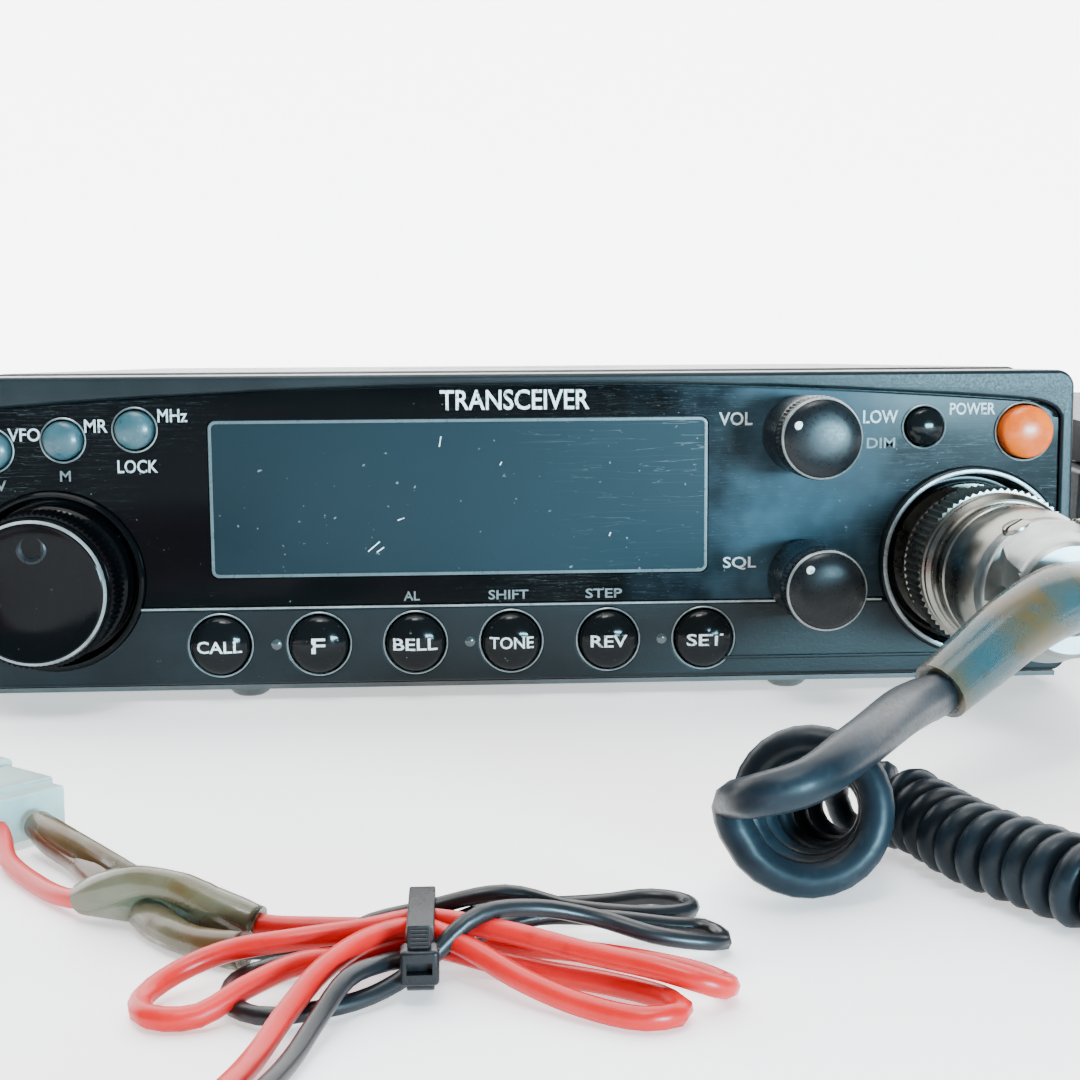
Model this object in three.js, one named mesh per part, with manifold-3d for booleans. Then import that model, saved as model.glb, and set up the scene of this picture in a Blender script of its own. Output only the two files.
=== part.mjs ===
// A mobile radio transceiver with its plugged-in hand microphone and its power lead.
// Millimetres. +X to the operator's right, +Y back into the case, +Z up.
// The origin is the centre of the case's flat underside; the set stands on four screw heads just below it.
import * as THREE from "three";
import { mergeVertices } from "three/addons/utils/BufferGeometryUtils.js";
import Module from "manifold-3d";

const wasm = await Module();
wasm.setup();

// Driving sizes
const halfWidth = 70;
const faceY = -80;
const rearY = 80;
const caseTop = 39.6;
const standHeight = 1.2;
const floorZ = -standHeight;
const sheet = 1.0;
const bezelDepth = 19;
const bezelBottom = 0.9;
const bezelTop = 39.3;
const wallFront = faceY + 1.6; // bottom of the fascia's pocket
const wallBack = faceY + 2.6; // inner face of the bezel's front wall
const coverFront = faceY + bezelDepth + 0.1;
const coverBack = 57.9;
const finRoot = 62;
const boardFront = -68;

// Control places on the face, as x and z
const tuningSpot = { x: -57.7, z: 14.2 };
const volumeSpot = { x: 34.9, z: 31.6 };
const squelchSpot = { x: 35.7, z: 13.6 };
const micSpot = { x: 57.3, z: 15.3 };
const powerSpot = { x: 63.6, z: 31.6 };
const lowSpot = { x: 50.8, z: 32.3 };
const keyRowZ = 5.9;
const keyRow = [
  ["call_key", -37.5],
  ["function_key", -25.3],
  ["bell_key", -13.3],
  ["tone_key", -1.3],
  ["reverse_key", 10.9],
  ["shift_key", 23.0],
];
const modeKeys = [
  ["vfo_key", -64.6, 30.4],
  ["memory_key", -55.9, 31.6],
  ["band_key", -47.2, 32.8],
];
const keyRadius = 3.6;
const smallKeyRadius = 2.35;
const powerRadius = 3.3;
const display = { left: -38.5, right: 23.6, bottom: 14.2, top: 33.9 };
const tuningWellRadius = 11.2;
const micWellRadius = 12.0;

// Cords
const wireRadius = 0.9;
const wireZ = floorZ + wireRadius;
const sleeveRadius = 1.2;
const pairRadius = 1.8;
const pairZ = floorZ + pairRadius;
const micCordRadius = 1.9;
const curlRadius = 3.4;
const curlZ = floorZ + curlRadius + 0.1;

const finish = (color, roughness, metalness) => new THREE.MeshStandardMaterial({ color, roughness, metalness });
const bezelPlastic = finish(0x1e2a30, 0.42, 0.1);
const glossPlastic = finish(0x0a0b0d, 0.1, 0);
const darkPlastic = finish(0x15181a, 0.5, 0);
const windowTint = finish(0x39444c, 0.15, 0);
const paintedSteel = finish(0x17191b, 0.55, 0.3);
const castAlloy = finish(0x1b1d1f, 0.6, 0.4);
const plating = finish(0xc6ccce, 0.2, 1);
const tealKey = finish(0x6f99a4, 0.25, 0);
const orangeKey = finish(0xe8641a, 0.35, 0);
const boardGreen = finish(0x1d5a35, 0.6, 0);
const rubber = finish(0x14171a, 0.55, 0);
const nylon = finish(0xd6dfda, 0.5, 0);
const redWire = finish(0xc8302c, 0.4, 0);
const blackWire = finish(0x121416, 0.4, 0);
const agedSleeve = finish(0x8b8467, 0.35, 0);
const cone = finish(0x2a2723, 0.9, 0);

const transceiver = new THREE.Group();

// A closed geometry as a manifold-3d solid
function solid(geometry) {
  const bare = geometry.index ? geometry.toNonIndexed() : geometry.clone();
  bare.deleteAttribute("normal");
  bare.deleteAttribute("uv");
  const merged = mergeVertices(bare, 1e-4);
  return new wasm.Manifold(
    new wasm.Mesh({
      numProp: 3,
      vertProperties: merged.attributes.position.array,
      triVerts: new Uint32Array(merged.index.array),
    }),
  );
}

function geometryOf(body) {
  const mesh = body.getMesh();
  const geometry = new THREE.BufferGeometry();
  geometry.setAttribute("position", new THREE.BufferAttribute(mesh.vertProperties, 3));
  geometry.setIndex(new THREE.BufferAttribute(mesh.triVerts, 1));
  return geometry;
}

const join = (pieces) => geometryOf(pieces.map(solid).reduce((sum, next) => sum.add(next)));
const cut = (body, tools) => geometryOf(tools.map(solid).reduce((rest, tool) => rest.subtract(tool), solid(body)));

// A box between two corners
function block([x0, y0, z0], [x1, y1, z1]) {
  const box = new THREE.BoxGeometry(x1 - x0, y1 - y0, z1 - z0);
  return box.translate((x0 + x1) / 2, (y0 + y1) / 2, (z0 + z1) / 2);
}

// A profile of [radius, y] pairs turned about the Y axis, listed in either direction.
// It starts and ends on the axis, or it is a ring's section, which is closed here.
function turned(profile, segments = 20) {
  const twiceArea = profile.reduce((sum, [r, y], i) => {
    const [nextR, nextY] = profile[(i + 1) % profile.length];
    return sum + r * nextY - nextR * y;
  }, 0);
  const ordered = twiceArea > 0 ? [...profile] : [...profile].reverse();
  if (ordered[0][0] > 0) ordered.push(ordered[0]);
  return new THREE.LatheGeometry(
    ordered.map(([r, y]) => new THREE.Vector2(r, y)),
    segments,
  );
}

// A turned piece whose axis runs front to back through a place on the face
const atFace = (spot, profile, segments) => turned(profile, segments).translate(spot.x, 0, spot.z);

// A round bar along Y
const bar = (spot, radius, front, back, segments = 16) =>
  atFace(spot, [[0, front], [radius, front], [radius, back], [0, back]], segments);

// A round post along Z
const post = (x, y, radius, bottom, top, segments = 12) =>
  turned([[0, bottom], [radius, bottom], [radius, top], [0, top]], segments)
    .rotateX(Math.PI / 2)
    .translate(x, y, 0);

// An outline in X and Z, made solid from front to back
function plate(shape, front, back, curveSegments = 4) {
  const geometry = new THREE.ExtrudeGeometry(shape, { depth: back - front, bevelEnabled: false, curveSegments });
  return geometry.rotateX(Math.PI / 2).translate(0, back, 0);
}

// An outline in X and Y, made solid from bottom to top
function slab(shape, bottom, top, curveSegments = 4) {
  const geometry = new THREE.ExtrudeGeometry(shape, { depth: top - bottom, bevelEnabled: false, curveSegments });
  return geometry.translate(0, 0, bottom);
}

function roundedRectangle(left, bottom, right, top, radius) {
  const shape = new THREE.Shape();
  const quarter = Math.PI / 2;
  shape.absarc(right - radius, bottom + radius, radius, -quarter, 0);
  shape.absarc(right - radius, top - radius, radius, 0, quarter);
  shape.absarc(left + radius, top - radius, radius, quarter, 2 * quarter);
  shape.absarc(left + radius, bottom + radius, radius, 2 * quarter, 3 * quarter);
  return shape;
}

function polygon(points) {
  const shape = new THREE.Shape();
  points.forEach(([x, y], i) => (i ? shape.lineTo(x, y) : shape.moveTo(x, y)));
  return shape;
}

function addPart(name, geometry, material, parent = transceiver) {
  const mesh = new THREE.Mesh(geometry, material);
  mesh.name = name;
  parent.add(mesh);
}

// The face outline of the glossy fascia: a shallow arc along the top and a straight lower edge.
function fasciaShape(grow) {
  const side = 68.2 + grow;
  const bottom = 10.7 - grow;
  const shoulder = 33.2;
  const archRise = 4.7;
  const shape = new THREE.Shape();
  shape.moveTo(-side, bottom);
  shape.lineTo(side, bottom);
  shape.lineTo(side, shoulder);
  shape.quadraticCurveTo(side - 0.4, 35.2 + grow, 63.5, 35.5 + grow);
  shape.quadraticCurveTo(0, 35.7 + archRise + grow, -63.5, 35.5 + grow);
  shape.quadraticCurveTo(-side + 0.4, 35.2 + grow, -side, shoulder);
  return shape;
}

const faceKeys = [
  ...keyRow.map(([name, x]) => ({ name, x, z: keyRowZ, radius: keyRadius })),
  ...modeKeys.map(([name, x, z]) => ({ name, x, z, radius: smallKeyRadius })),
  { name: "low_power_key", ...lowSpot, radius: smallKeyRadius },
  { name: "power_button", ...powerSpot, radius: powerRadius },
];
const upperKeys = faceKeys.filter((key) => key.z > keyRowZ);
const holeGap = 0.2;

function buildFront() {
  const shell = plate(roundedRectangle(-halfWidth, bezelBottom, halfWidth, bezelTop, 2.2), faceY, faceY + bezelDepth);
  const cavity = plate(
    roundedRectangle(-halfWidth + 2, bezelBottom + 2, halfWidth - 2, bezelTop - 2, 1.2),
    wallBack,
    faceY + bezelDepth + 1,
  );
  const openings = [
    cavity,
    plate(fasciaShape(0.12), faceY - 1, wallFront, 8),
    block([display.left + 1, faceY, display.bottom + 0.8], [display.right - 1, wallBack + 1, display.top - 0.8]),
    bar(volumeSpot, 3.2, faceY, wallBack + 1),
    bar(squelchSpot, 3.2, faceY, wallBack + 1),
    bar(tuningSpot, tuningWellRadius + 0.1, faceY - 1, -76.3, 24),
    bar(micSpot, micWellRadius - 0.6, faceY - 1, -75.2, 24),
    ...faceKeys.map((key) => bar(key, key.radius + holeGap, faceY - 1, wallBack + 2.4, 12)),
  ];
  // The microphone socket's well is moulded in one piece with the bezel.
  const wellWall = atFace(
    micSpot,
    [[8.4, -75.4], [micWellRadius, -75.4], [micWellRadius, -80.6], [11.7, -81], [11.2, -81], [10.8, -77], [8.4, -77]],
    24,
  );
  const opened = openings.map(solid).reduce((rest, tool) => rest.subtract(tool), solid(shell));
  addPart("front_bezel", geometryOf(opened.add(solid(wellWall))), bezelPlastic);

  const fascia = plate(fasciaShape(0), wallFront - 1.4, wallFront - 0.1, 8);
  const fasciaOpenings = [
    plate(roundedRectangle(display.left, display.bottom, display.right, display.top, 1), faceY, wallBack),
    bar(volumeSpot, 3.2, faceY - 1, wallBack),
    bar(squelchSpot, 3.2, faceY - 1, wallBack),
    bar(tuningSpot, tuningWellRadius + 0.2, faceY - 1, wallBack, 24),
    bar(micSpot, micWellRadius + 0.2, faceY - 1, wallBack, 24),
    ...upperKeys.map((key) => bar(key, key.radius + holeGap, faceY - 1, wallBack, 12)),
  ];
  addPart("fascia_panel", cut(fascia, fasciaOpenings), glossPlastic);

  const windowPane = roundedRectangle(
    display.left + 0.15,
    display.bottom + 0.15,
    display.right - 0.15,
    display.top - 0.15,
    0.9,
  );
  addPart("display_window", plate(windowPane, wallFront - 1.3, wallFront - 0.1), windowTint);
  addPart("lcd_module", block([-36.5, wallBack + 0.2, 15.6], [21.5, -72.4, 32.6]), nylon);

  const dish = [[3.5, -76.5], [11.2, -76.5], [11.2, -80.4], [10.9, -80.9], [10.5, -80.9], [10.1, -78.2], [3.5, -78.2]];
  addPart("tuning_collar", atFace(tuningSpot, dish, 24), glossPlastic);
}

// A domed key with two ears that keep it behind the wall and a stem that reaches for its switch.
function buildKeys() {
  const earFront = wallBack + 0.1;
  const earBack = earFront + 0.9;
  for (const { name, x, z, radius } of faceKeys) {
    const isPower = name === "power_button";
    const apex = isPower ? faceY - 2.5 : faceY - 1.8;
    const shoulder = isPower ? faceY - 1.3 : faceY - 0.7;
    const stemEnd = isPower ? -72.9 : -71.9;
    const dome = apex - shoulder;
    const profile = [
      [0, apex],
      [radius * 0.7, shoulder + dome * 0.7],
      [radius, shoulder],
      [radius, earBack],
      [1.3, earBack],
      [1.3, stemEnd],
      [0, stemEnd],
    ];
    const colour = isPower ? orangeKey : z > keyRowZ && x < 0 ? tealKey : glossPlastic;
    const ears = block([x - radius - 0.7, earFront, z - 1.2], [x + radius + 0.7, earBack - 0.1, z + 1.2]);
    addPart(name, join([atFace({ x, z }, profile, 12), ears]), colour);
  }
}

function buildKnobs() {
  const tuning = [
    [0, -90.3], [7.4, -90.6], [8.2, -90.2], [8.6, -89.2], [9.1, -88.6], [9.3, -83], [9.6, -82.4],
    [9.6, -79.2], [3, -79.2], [3, -71], [0, -71],
  ];
  addPart("tuning_knob", atFace(tuningSpot, tuning, 24), glossPlastic);
  const level = [
    [0, -94.2], [3.2, -94], [4.6, -93.4], [4.95, -92.6], [5, -90], [4.8, -80.3], [2.4, -80.3], [2.4, -71], [0, -71],
  ];
  addPart("volume_knob", atFace(volumeSpot, level, 20), glossPlastic);
  addPart("squelch_knob", atFace(squelchSpot, level, 20), glossPlastic);

  const potBack = boardFront - 0.2;
  const housing = (spot, half, front) =>
    cut(block([spot.x - half, front, spot.z - half], [spot.x + half, potBack, spot.z + half]), [
      bar(spot, half === 6 ? 3.15 : 2.55, front - 1, -70.5),
    ]);
  addPart("tuning_encoder", housing(tuningSpot, 6, -76.2), castAlloy);
  addPart("volume_control", housing(volumeSpot, 4.8, -77.2), castAlloy);
  addPart("squelch_control", housing(squelchSpot, 4.8, -77.2), castAlloy);
}

function buildBoards() {
  const outline = polygon([[-66, 4], [46.5, 4], [46.5, 28.4], [66.5, 28.4], [66.5, 36], [-66, 36]]);
  const switches = faceKeys.map(({ x, z }) => block([x - 1.8, -70.6, z - 1.8], [x + 1.8, boardFront, z + 1.8]));
  addPart("front_circuit_board", join([plate(outline, boardFront, boardFront + 1.2), ...switches]), boardGreen);

  const board = block([-64, -50, 17], [64, 50, 18.6]);
  const cans = [
    block([-50, -42, 18.6], [-30, -20, 25]),
    block([30, -40, 18.6], [50, -18, 24]),
    block([-48, 10, 18.6], [-34, 36, 23]),
    block([34, 8, 18.6], [50, 28, 25]),
  ];
  const postHoles = corners.map(([x, y]) => post(x, y, 3.5, 16, 20));
  addPart("main_circuit_board", cut(join([board, ...cans]), postHoles), boardGreen);
  addPart("rf_power_module", block([-31, 46, 19.6], [31, coverBack - 0.1, 29]), plating);

  const speaker = [[0, 25], [11, 25], [11, 31], [22, 35], [25, 35.6], [25, 38.4], [23, 38.4], [12, 33.5], [0, 33]];
  const turnedSpeaker = turned(speaker, 24).rotateX(Math.PI / 2).translate(0, -8, 0);
  addPart("speaker", turnedSpeaker, cone);
}

const corners = [[-58, -45], [58, -45], [-58, 45], [58, 45]];
const footPlaces = [[-34.5, -75.4], [34.5, -75.4], [-34.5, 45], [34.5, 45]];
const sideHoles = [-20, 20];
const sideHoleZ = 20;

function sideHole(radius, y, inner, outer) {
  const hole = turned([[0, inner], [radius, inner], [radius, outer], [0, outer]], 16);
  return hole.rotateZ(-Math.PI / 2).translate(0, y, sideHoleZ);
}

function buildCase() {
  const outer = (bottom, top) => plate(roundedRectangle(-69.6, bottom, 69.6, top, 1.6), coverFront, coverBack);
  const slots = [-3, -2, -1, 0, 1, 2, 3].map((i) => block([-19, i * 5 - 9.2, 38], [19, i * 5 - 6.8, 41]));
  const topTools = [
    block([-68.6, coverFront - 1, -1], [68.6, coverBack + 1, caseTop - sheet]),
    block([-72, coverFront - 1, -1], [72, coverBack + 1, 8]),
    ...slots,
    ...corners.map(([x, y]) => post(x, y, 2.9, 38, 41)),
    ...sideHoles.flatMap((y) => [sideHole(2.6, y, 67, 71), sideHole(2.6, y, -71, -67)]),
  ];
  addPart("top_cover", cut(outer(0, caseTop), topTools), paintedSteel);
  const baseTools = [
    block([-68.6, coverFront - 1, sheet], [68.6, coverBack + 1, 60]),
    block([-72, coverFront - 1, 7.9], [72, coverBack + 1, 60]),
  ];
  // The sheet runs on under the bezel as a lip, and four feet pressed out of it carry the set.
  const lip = block([-69, faceY + 1.4, 0], [69, coverFront + 1, bezelBottom - 0.3]);
  const foot = turned([[0, 0.4], [3, 0.4], [3, 0], [2.2, floorZ + 0.3], [1.7, floorZ], [0, floorZ]], 16);
  const feet = footPlaces.map(([x, y]) => foot.clone().rotateX(Math.PI / 2).translate(x, y, 0));
  addPart("bottom_cover", join([cut(outer(0, caseTop), baseTools), lip, ...feet]), paintedSteel);

  const finPitch = 8.5;
  const finCount = 17;
  const fins = Array.from({ length: finCount }, (_, i) => {
    const x = (i - (finCount - 1) / 2) * finPitch;
    return block([x - 0.9, finRoot - 0.5, 1.6], [x + 0.9, rearY, 38.6]);
  });
  const posts = corners.map(([x, y]) => post(x, y, 3, 14, 38.4));
  const standoffs = [[-40, 0], [40, 0]].map(([x, y]) => post(x, y, 2.5, 14, 17));
  const casting = [
    block([-69, 58, 1.2], [69, finRoot, 38.8]),
    block([-68.2, -58, 3], [-65.6, 58.5, 37]),
    block([65.6, -58, 3], [68.2, 58.5, 37]),
    block([-66, -58, 13], [66, 58.5, 15]),
    ...fins,
    ...posts,
    ...standoffs,
  ];
  const castTools = [
    block([-48, finRoot, -1], [-36, rearY + 1, 41]),
    block([20.5, finRoot, -1], [53, rearY + 1, 41]),
    ...corners.map(([x, y]) => post(x, y, 1.6, 34, 41)),
    ...sideHoles.flatMap((y) => [sideHole(1.7, y, 64, 71), sideHole(1.7, y, -71, -64)]),
  ];
  addPart("cast_chassis", cut(join(casting), castTools), castAlloy);

  // Countersunk screws, whose heads sit in dimples of the top cover
  const screw = turned([[0, 34.6], [1.3, 34.6], [1.3, 38.2], [2.6, 39.2], [2.6, 39.5], [0, 39.5]], 12);
  corners.forEach(([x, y], i) => {
    addPart(`cover_screw_${i + 1}`, screw.clone().rotateX(Math.PI / 2).translate(x, y, 0), plating);
  });

  const antennaSpot = { x: 42, z: 20 };
  const flange = plate(roundedRectangle(33.5, 11.5, 50.5, 28.5, 2), finRoot, finRoot + 1.8);
  const barrel = atFace(antennaSpot, [[2, 63.5], [7.9, 63.5], [7.9, 78], [7.4, 78.6], [5.6, 78.6], [5.6, 68], [2, 68]]);
  addPart("antenna_socket", join([flange, barrel]), plating);
  const jack = [[1.8, finRoot], [4, finRoot], [4, 65.5], [3.6, 66], [1.8, 66]];
  addPart("speaker_jack", atFace({ x: 26.5, z: 12 }, jack, 20), darkPlastic);
  const grommet = [[0, finRoot], [4.6, finRoot], [4.6, 64.5], [3.8, 65], [3.4, 70], [0, 70]];
  addPart("lead_grommet", atFace({ x: -42, z: 14 }, grommet, 20), rubber);
}

function buildMicPlug() {
  const pins = Array.from({ length: 7 }, (_, i) => {
    const turn = (i * Math.PI * 2) / 7;
    return bar({ x: micSpot.x + Math.cos(turn) * 3.6, z: micSpot.z + Math.sin(turn) * 3.6 }, 0.6, -84, -78, 8);
  });
  const barrel = atFace(
    micSpot,
    [[0, -67], [7.9, -67], [7.9, -77.1], [9.8, -77.1], [9.8, -78.3], [7.9, -78.3], [7.9, -86], [6.95, -86],
      [6.95, -79], [0, -79]],
  );
  addPart("mic_socket", join([barrel, ...pins]), plating);
  const ring = [
    [8.25, -82.4], [9.7, -82.4], [10, -82.9], [10, -91], [9.6, -91.6], [8.9, -92], [8.9, -93.4], [7.85, -93.4],
    [7.85, -88.5], [8.25, -88.5],
  ];
  addPart("mic_plug_ring", atFace(micSpot, ring, 24), plating);
  const shell = [
    [5.6, -80.8], [6.7, -80.8], [6.7, -87], [8, -87], [8, -88.2], [7.6, -88.2], [7.6, -93.9], [8.6, -94.2],
    [8.6, -100], [8, -103], [7.2, -104.2], [3.5, -104.2], [3.5, -89], [5.6, -88.5],
  ];
  addPart("mic_plug_shell", atFace(micSpot, shell, 32), plating);
  const collar = [
    [3.5, -104.5], [7.6, -104.5], [8, -105], [8, -107.6], [7, -109.4], [6.4, -113.4], [5.8, -114], [3.5, -114],
  ];
  const slits = [
    block([micSpot.x - 10, -116, micSpot.z - 0.8], [micSpot.x + 10, -108, micSpot.z + 0.8]),
    block([micSpot.x - 10, -116, micSpot.z - 0.8], [micSpot.x - 5.8, -108, micSpot.z + 6]),
  ];
  addPart("mic_plug_clamp", cut(atFace(micSpot, collar, 32), slits), plating);
}

// A round cord through a list of places, as a closed tube
function tube(points, radius, sides, steps) {
  const section = new THREE.Shape();
  for (let i = 0; i < sides; i++) {
    const turn = (i * Math.PI * 2) / sides;
    const [x, y] = [radius * Math.cos(turn), radius * Math.sin(turn)];
    if (i) section.lineTo(x, y);
    else section.moveTo(x, y);
  }
  const route = new THREE.CatmullRomCurve3(points.map((p) => new THREE.Vector3(...p)), false, "centripetal");
  return new THREE.ExtrudeGeometry(section, { steps, extrudePath: route, bevelEnabled: false });
}

// The microphone cord leaves the clamp forwards, swings left and down, loops once and runs into its curl.
const sleeveRoute = [
  [57.3, -109, 15.3], [57.3, -114.2, 15.4], [56, -118.8, 16.6], [51.8, -122.2, 16.3], [47.2, -125, 14.6],
  [42.5, -127.8, 12], [37.9, -130.5, 9.3],
];
const leadRoute = [
  [36.9, -132, 9.2], [33.6, -138.5, 9.8], [29.3, -147, 10.3], [22.4, -158.5, 10.4], [17.6, -163.3, 9.4],
  [14.4, -162.8, 8.8], [12.8, -159.9, 6.4], [14.3, -156.9, 2.8], [17, -156.4, 1.3], [19.6, -156.6, 0.9],
  [22.8, -156.8, 1.8], [25, -156.6, 4.6], [24.6, -155.2, 7.4],
];
const curlRoute = [
  [24.2, -150.2, 3.2], [25.6, -146.8, 3], [29, -145, 2.6], [32, -148.6, curlZ], [32.6, -153, curlZ],
  [34, -157.5, curlZ], [36.4, -161.6, curlZ], [38.6, -166.4, curlZ], [43, -171, curlZ], [52, -173, curlZ],
  [66, -170, curlZ], [84, -165, curlZ], [104, -162, curlZ], [126, -160, curlZ], [143, -148, curlZ],
  [144, -128, curlZ], [132, -114.5, curlZ + 0.4], [122, -104, 6], [119, -89.6, 10.8],
];

function buildMicCord() {
  addPart("mic_cord_sleeve", tube(sleeveRoute, 3.1, 10, 14), agedSleeve);
  addPart("mic_cord_lead", tube(leadRoute, micCordRadius, 8, 40), rubber);
  addPart("mic_cord_curl", tube(curlRoute, curlRadius, 10, 60), rubber);
}

// The hand microphone lies on its back, tipped up a little by its hanging stud.
const handMic = { length: 92, halfTop: 27, halfTail: 19, seam: 14, depth: 28, place: [119, -72, floorZ] };
const studDrop = 4.5;
const studY = 61;
const studRadius = 5.2;

function handMicShape(grow) {
  const { length, halfTop, halfTail } = handMic;
  const shape = new THREE.Shape();
  shape.moveTo(-halfTail - grow + 7, -grow);
  shape.lineTo(halfTail + grow - 7, -grow);
  shape.quadraticCurveTo(halfTail + grow, -grow, halfTail + grow + 0.8, 7);
  shape.lineTo(halfTop + grow, length * 0.5);
  shape.lineTo(halfTop + grow, length - 9);
  shape.quadraticCurveTo(halfTop + grow, length + grow, halfTop - 9, length + grow);
  shape.lineTo(-halfTop + 9, length + grow);
  shape.quadraticCurveTo(-halfTop - grow, length + grow, -halfTop - grow, length - 9);
  shape.lineTo(-halfTop - grow, length * 0.5);
  shape.lineTo(-halfTail - grow - 0.8, 7);
  shape.quadraticCurveTo(-halfTail - grow, -grow, -halfTail - grow + 7, -grow);
  return shape;
}

function buildHandMic() {
  const group = new THREE.Group();
  group.position.set(...handMic.place);
  group.rotation.x = Math.atan(studDrop / (studY - studRadius));
  const { length, halfTop, seam, depth } = handMic;
  const leverOpening = block([-halfTop - 1, 40, 6.5], [-halfTop + 4, 79, 21.5]);
  const keyOpenings = [-11, 11].map((x) => block([x - 5.3, length - 4, 15.2], [x + 5.3, length + 1, 20.8]));
  const grille = [0, 1, 2, 3, 4, 5].map((i) => block([-13, 58 + i * 4.2, depth - 4], [13, 60 + i * 4.2, depth + 1]));
  const cordHole = turned([[0, -2], [4.2, -2], [4.2, 3], [0, 3]], 16).translate(0, 0, seam);
  const front = slab(handMicShape(0), seam + 0.15, depth);
  const back = slab(handMicShape(0), 0, seam - 0.15);
  const frontTools = [slab(handMicShape(-2.2), seam - 1, depth - 2), leverOpening, ...keyOpenings, ...grille, cordHole];
  const backTools = [slab(handMicShape(-2.2), 2, seam + 1), leverOpening, cordHole, post(0, studY, 2.4, -1, 3)];
  addPart("hand_mic_front_shell", cut(front, frontTools), darkPlastic, group);
  addPart("hand_mic_back_shell", cut(back, backTools), darkPlastic, group);
  addPart("hand_mic_capsule", post(0, 69, 9, 19, 24.5, 24), plating, group);
  const stud = turned(
    [[0, -studDrop], [studRadius, -studDrop], [5.6, -3.9], [5.6, -3], [3.2, -2.6], [3.2, -0.3], [2.1, -0.3],
      [2.1, 5], [0, 5]],
    20,
  ).rotateX(Math.PI / 2);
  addPart("hand_mic_hanger_stud", stud.translate(0, studY, 0), plating, group);
  const boot = [[0, -15], [3, -15], [3.6, -8], [4.6, -0.4], [3.8, -0.4], [3.8, 4], [0, 4]];
  addPart("hand_mic_boot", turned(boot, 16).translate(0, 0, seam), rubber, group);
  const lever = slab(roundedRectangle(-halfTop - 2.2, 40.6, -halfTop + 1.6, 78.4, 1.2), 7.1, 20.9);
  addPart("ptt_lever", lever, darkPlastic, group);
  const keyBody = (x) => slab(roundedRectangle(x - 4.9, length - 3.4, x + 4.9, length + 1.5, 1), 15.6, 20.4);
  addPart("hand_mic_down_key", keyBody(-11), rubber, group);
  addPart("hand_mic_up_key", keyBody(11), rubber, group);
  transceiver.add(group);
}

// The power lead: a twisted pigtail from the grommet to a two-pin connector, then two sleeved wires,
// a tied hank, and the rest of the length as a coil.
const pigtailRoute = [
  [-42, 70.4, 14], [-42, 76, 13.3], [-45, 85.5, 9], [-53, 92.5, 3.4], [-64, 93.5, 0.9], [-74, 88, pairZ],
  [-79.5, 77, pairZ], [-80.5, 58, pairZ], [-79, 30, pairZ], [-80.5, 0, pairZ], [-79, -30, pairZ], [-80, -60, pairZ],
  [-79, -90, pairZ], [-73.5, -111, pairZ], [-65.6, -122.4, 0.8], [-60.3, -126.6, 1.4],
];
const connector = { x: -52.4, y: -133.4, z: 1.4, turn: -0.72 };
const redWireRoute = [
  [-47.4, -142.4, 1], [-45.6, -147, 0], [-41.8, -152.6, wireZ], [-39, -156.2, wireZ + 0.2], [-36.6, -158.4, 0.4],
];
const redSleeveRoute = [
  [-37, -158.1, 0.4], [-34.6, -159.9, 1.6], [-31.8, -161.6, 2.7], [-28.8, -163, 2.6], [-25.8, -164.3, 1.5],
  [-22.7, -165.4, 0.6],
];
const blackSleeveRoute = [
  [-44.6, -141, 1.2], [-42, -144.6, 0.5], [-37.4, -151.4, 0.1], [-33.6, -157.5, 0.1], [-31, -162.1, 0.1],
  [-28.4, -166, 0.1], [-25.6, -168.4, 0.1], [-23.2, -169.4, 0.1],
];
const hankTop = 2.6;
const hankWaist = { left: -12.4, right: -9.2, bottom: -0.1 };
const tailRoute = [
  [-18.6, -182.4, pairZ], [-19.8, -187.6, pairZ], [-23, -193.4, pairZ], [-30, -198.6, pairZ], [-41.2, -201, pairZ],
];
const coil = { x: -62, y: -201, inner: 5, outer: 19.5, height: 12.4 };

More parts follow.
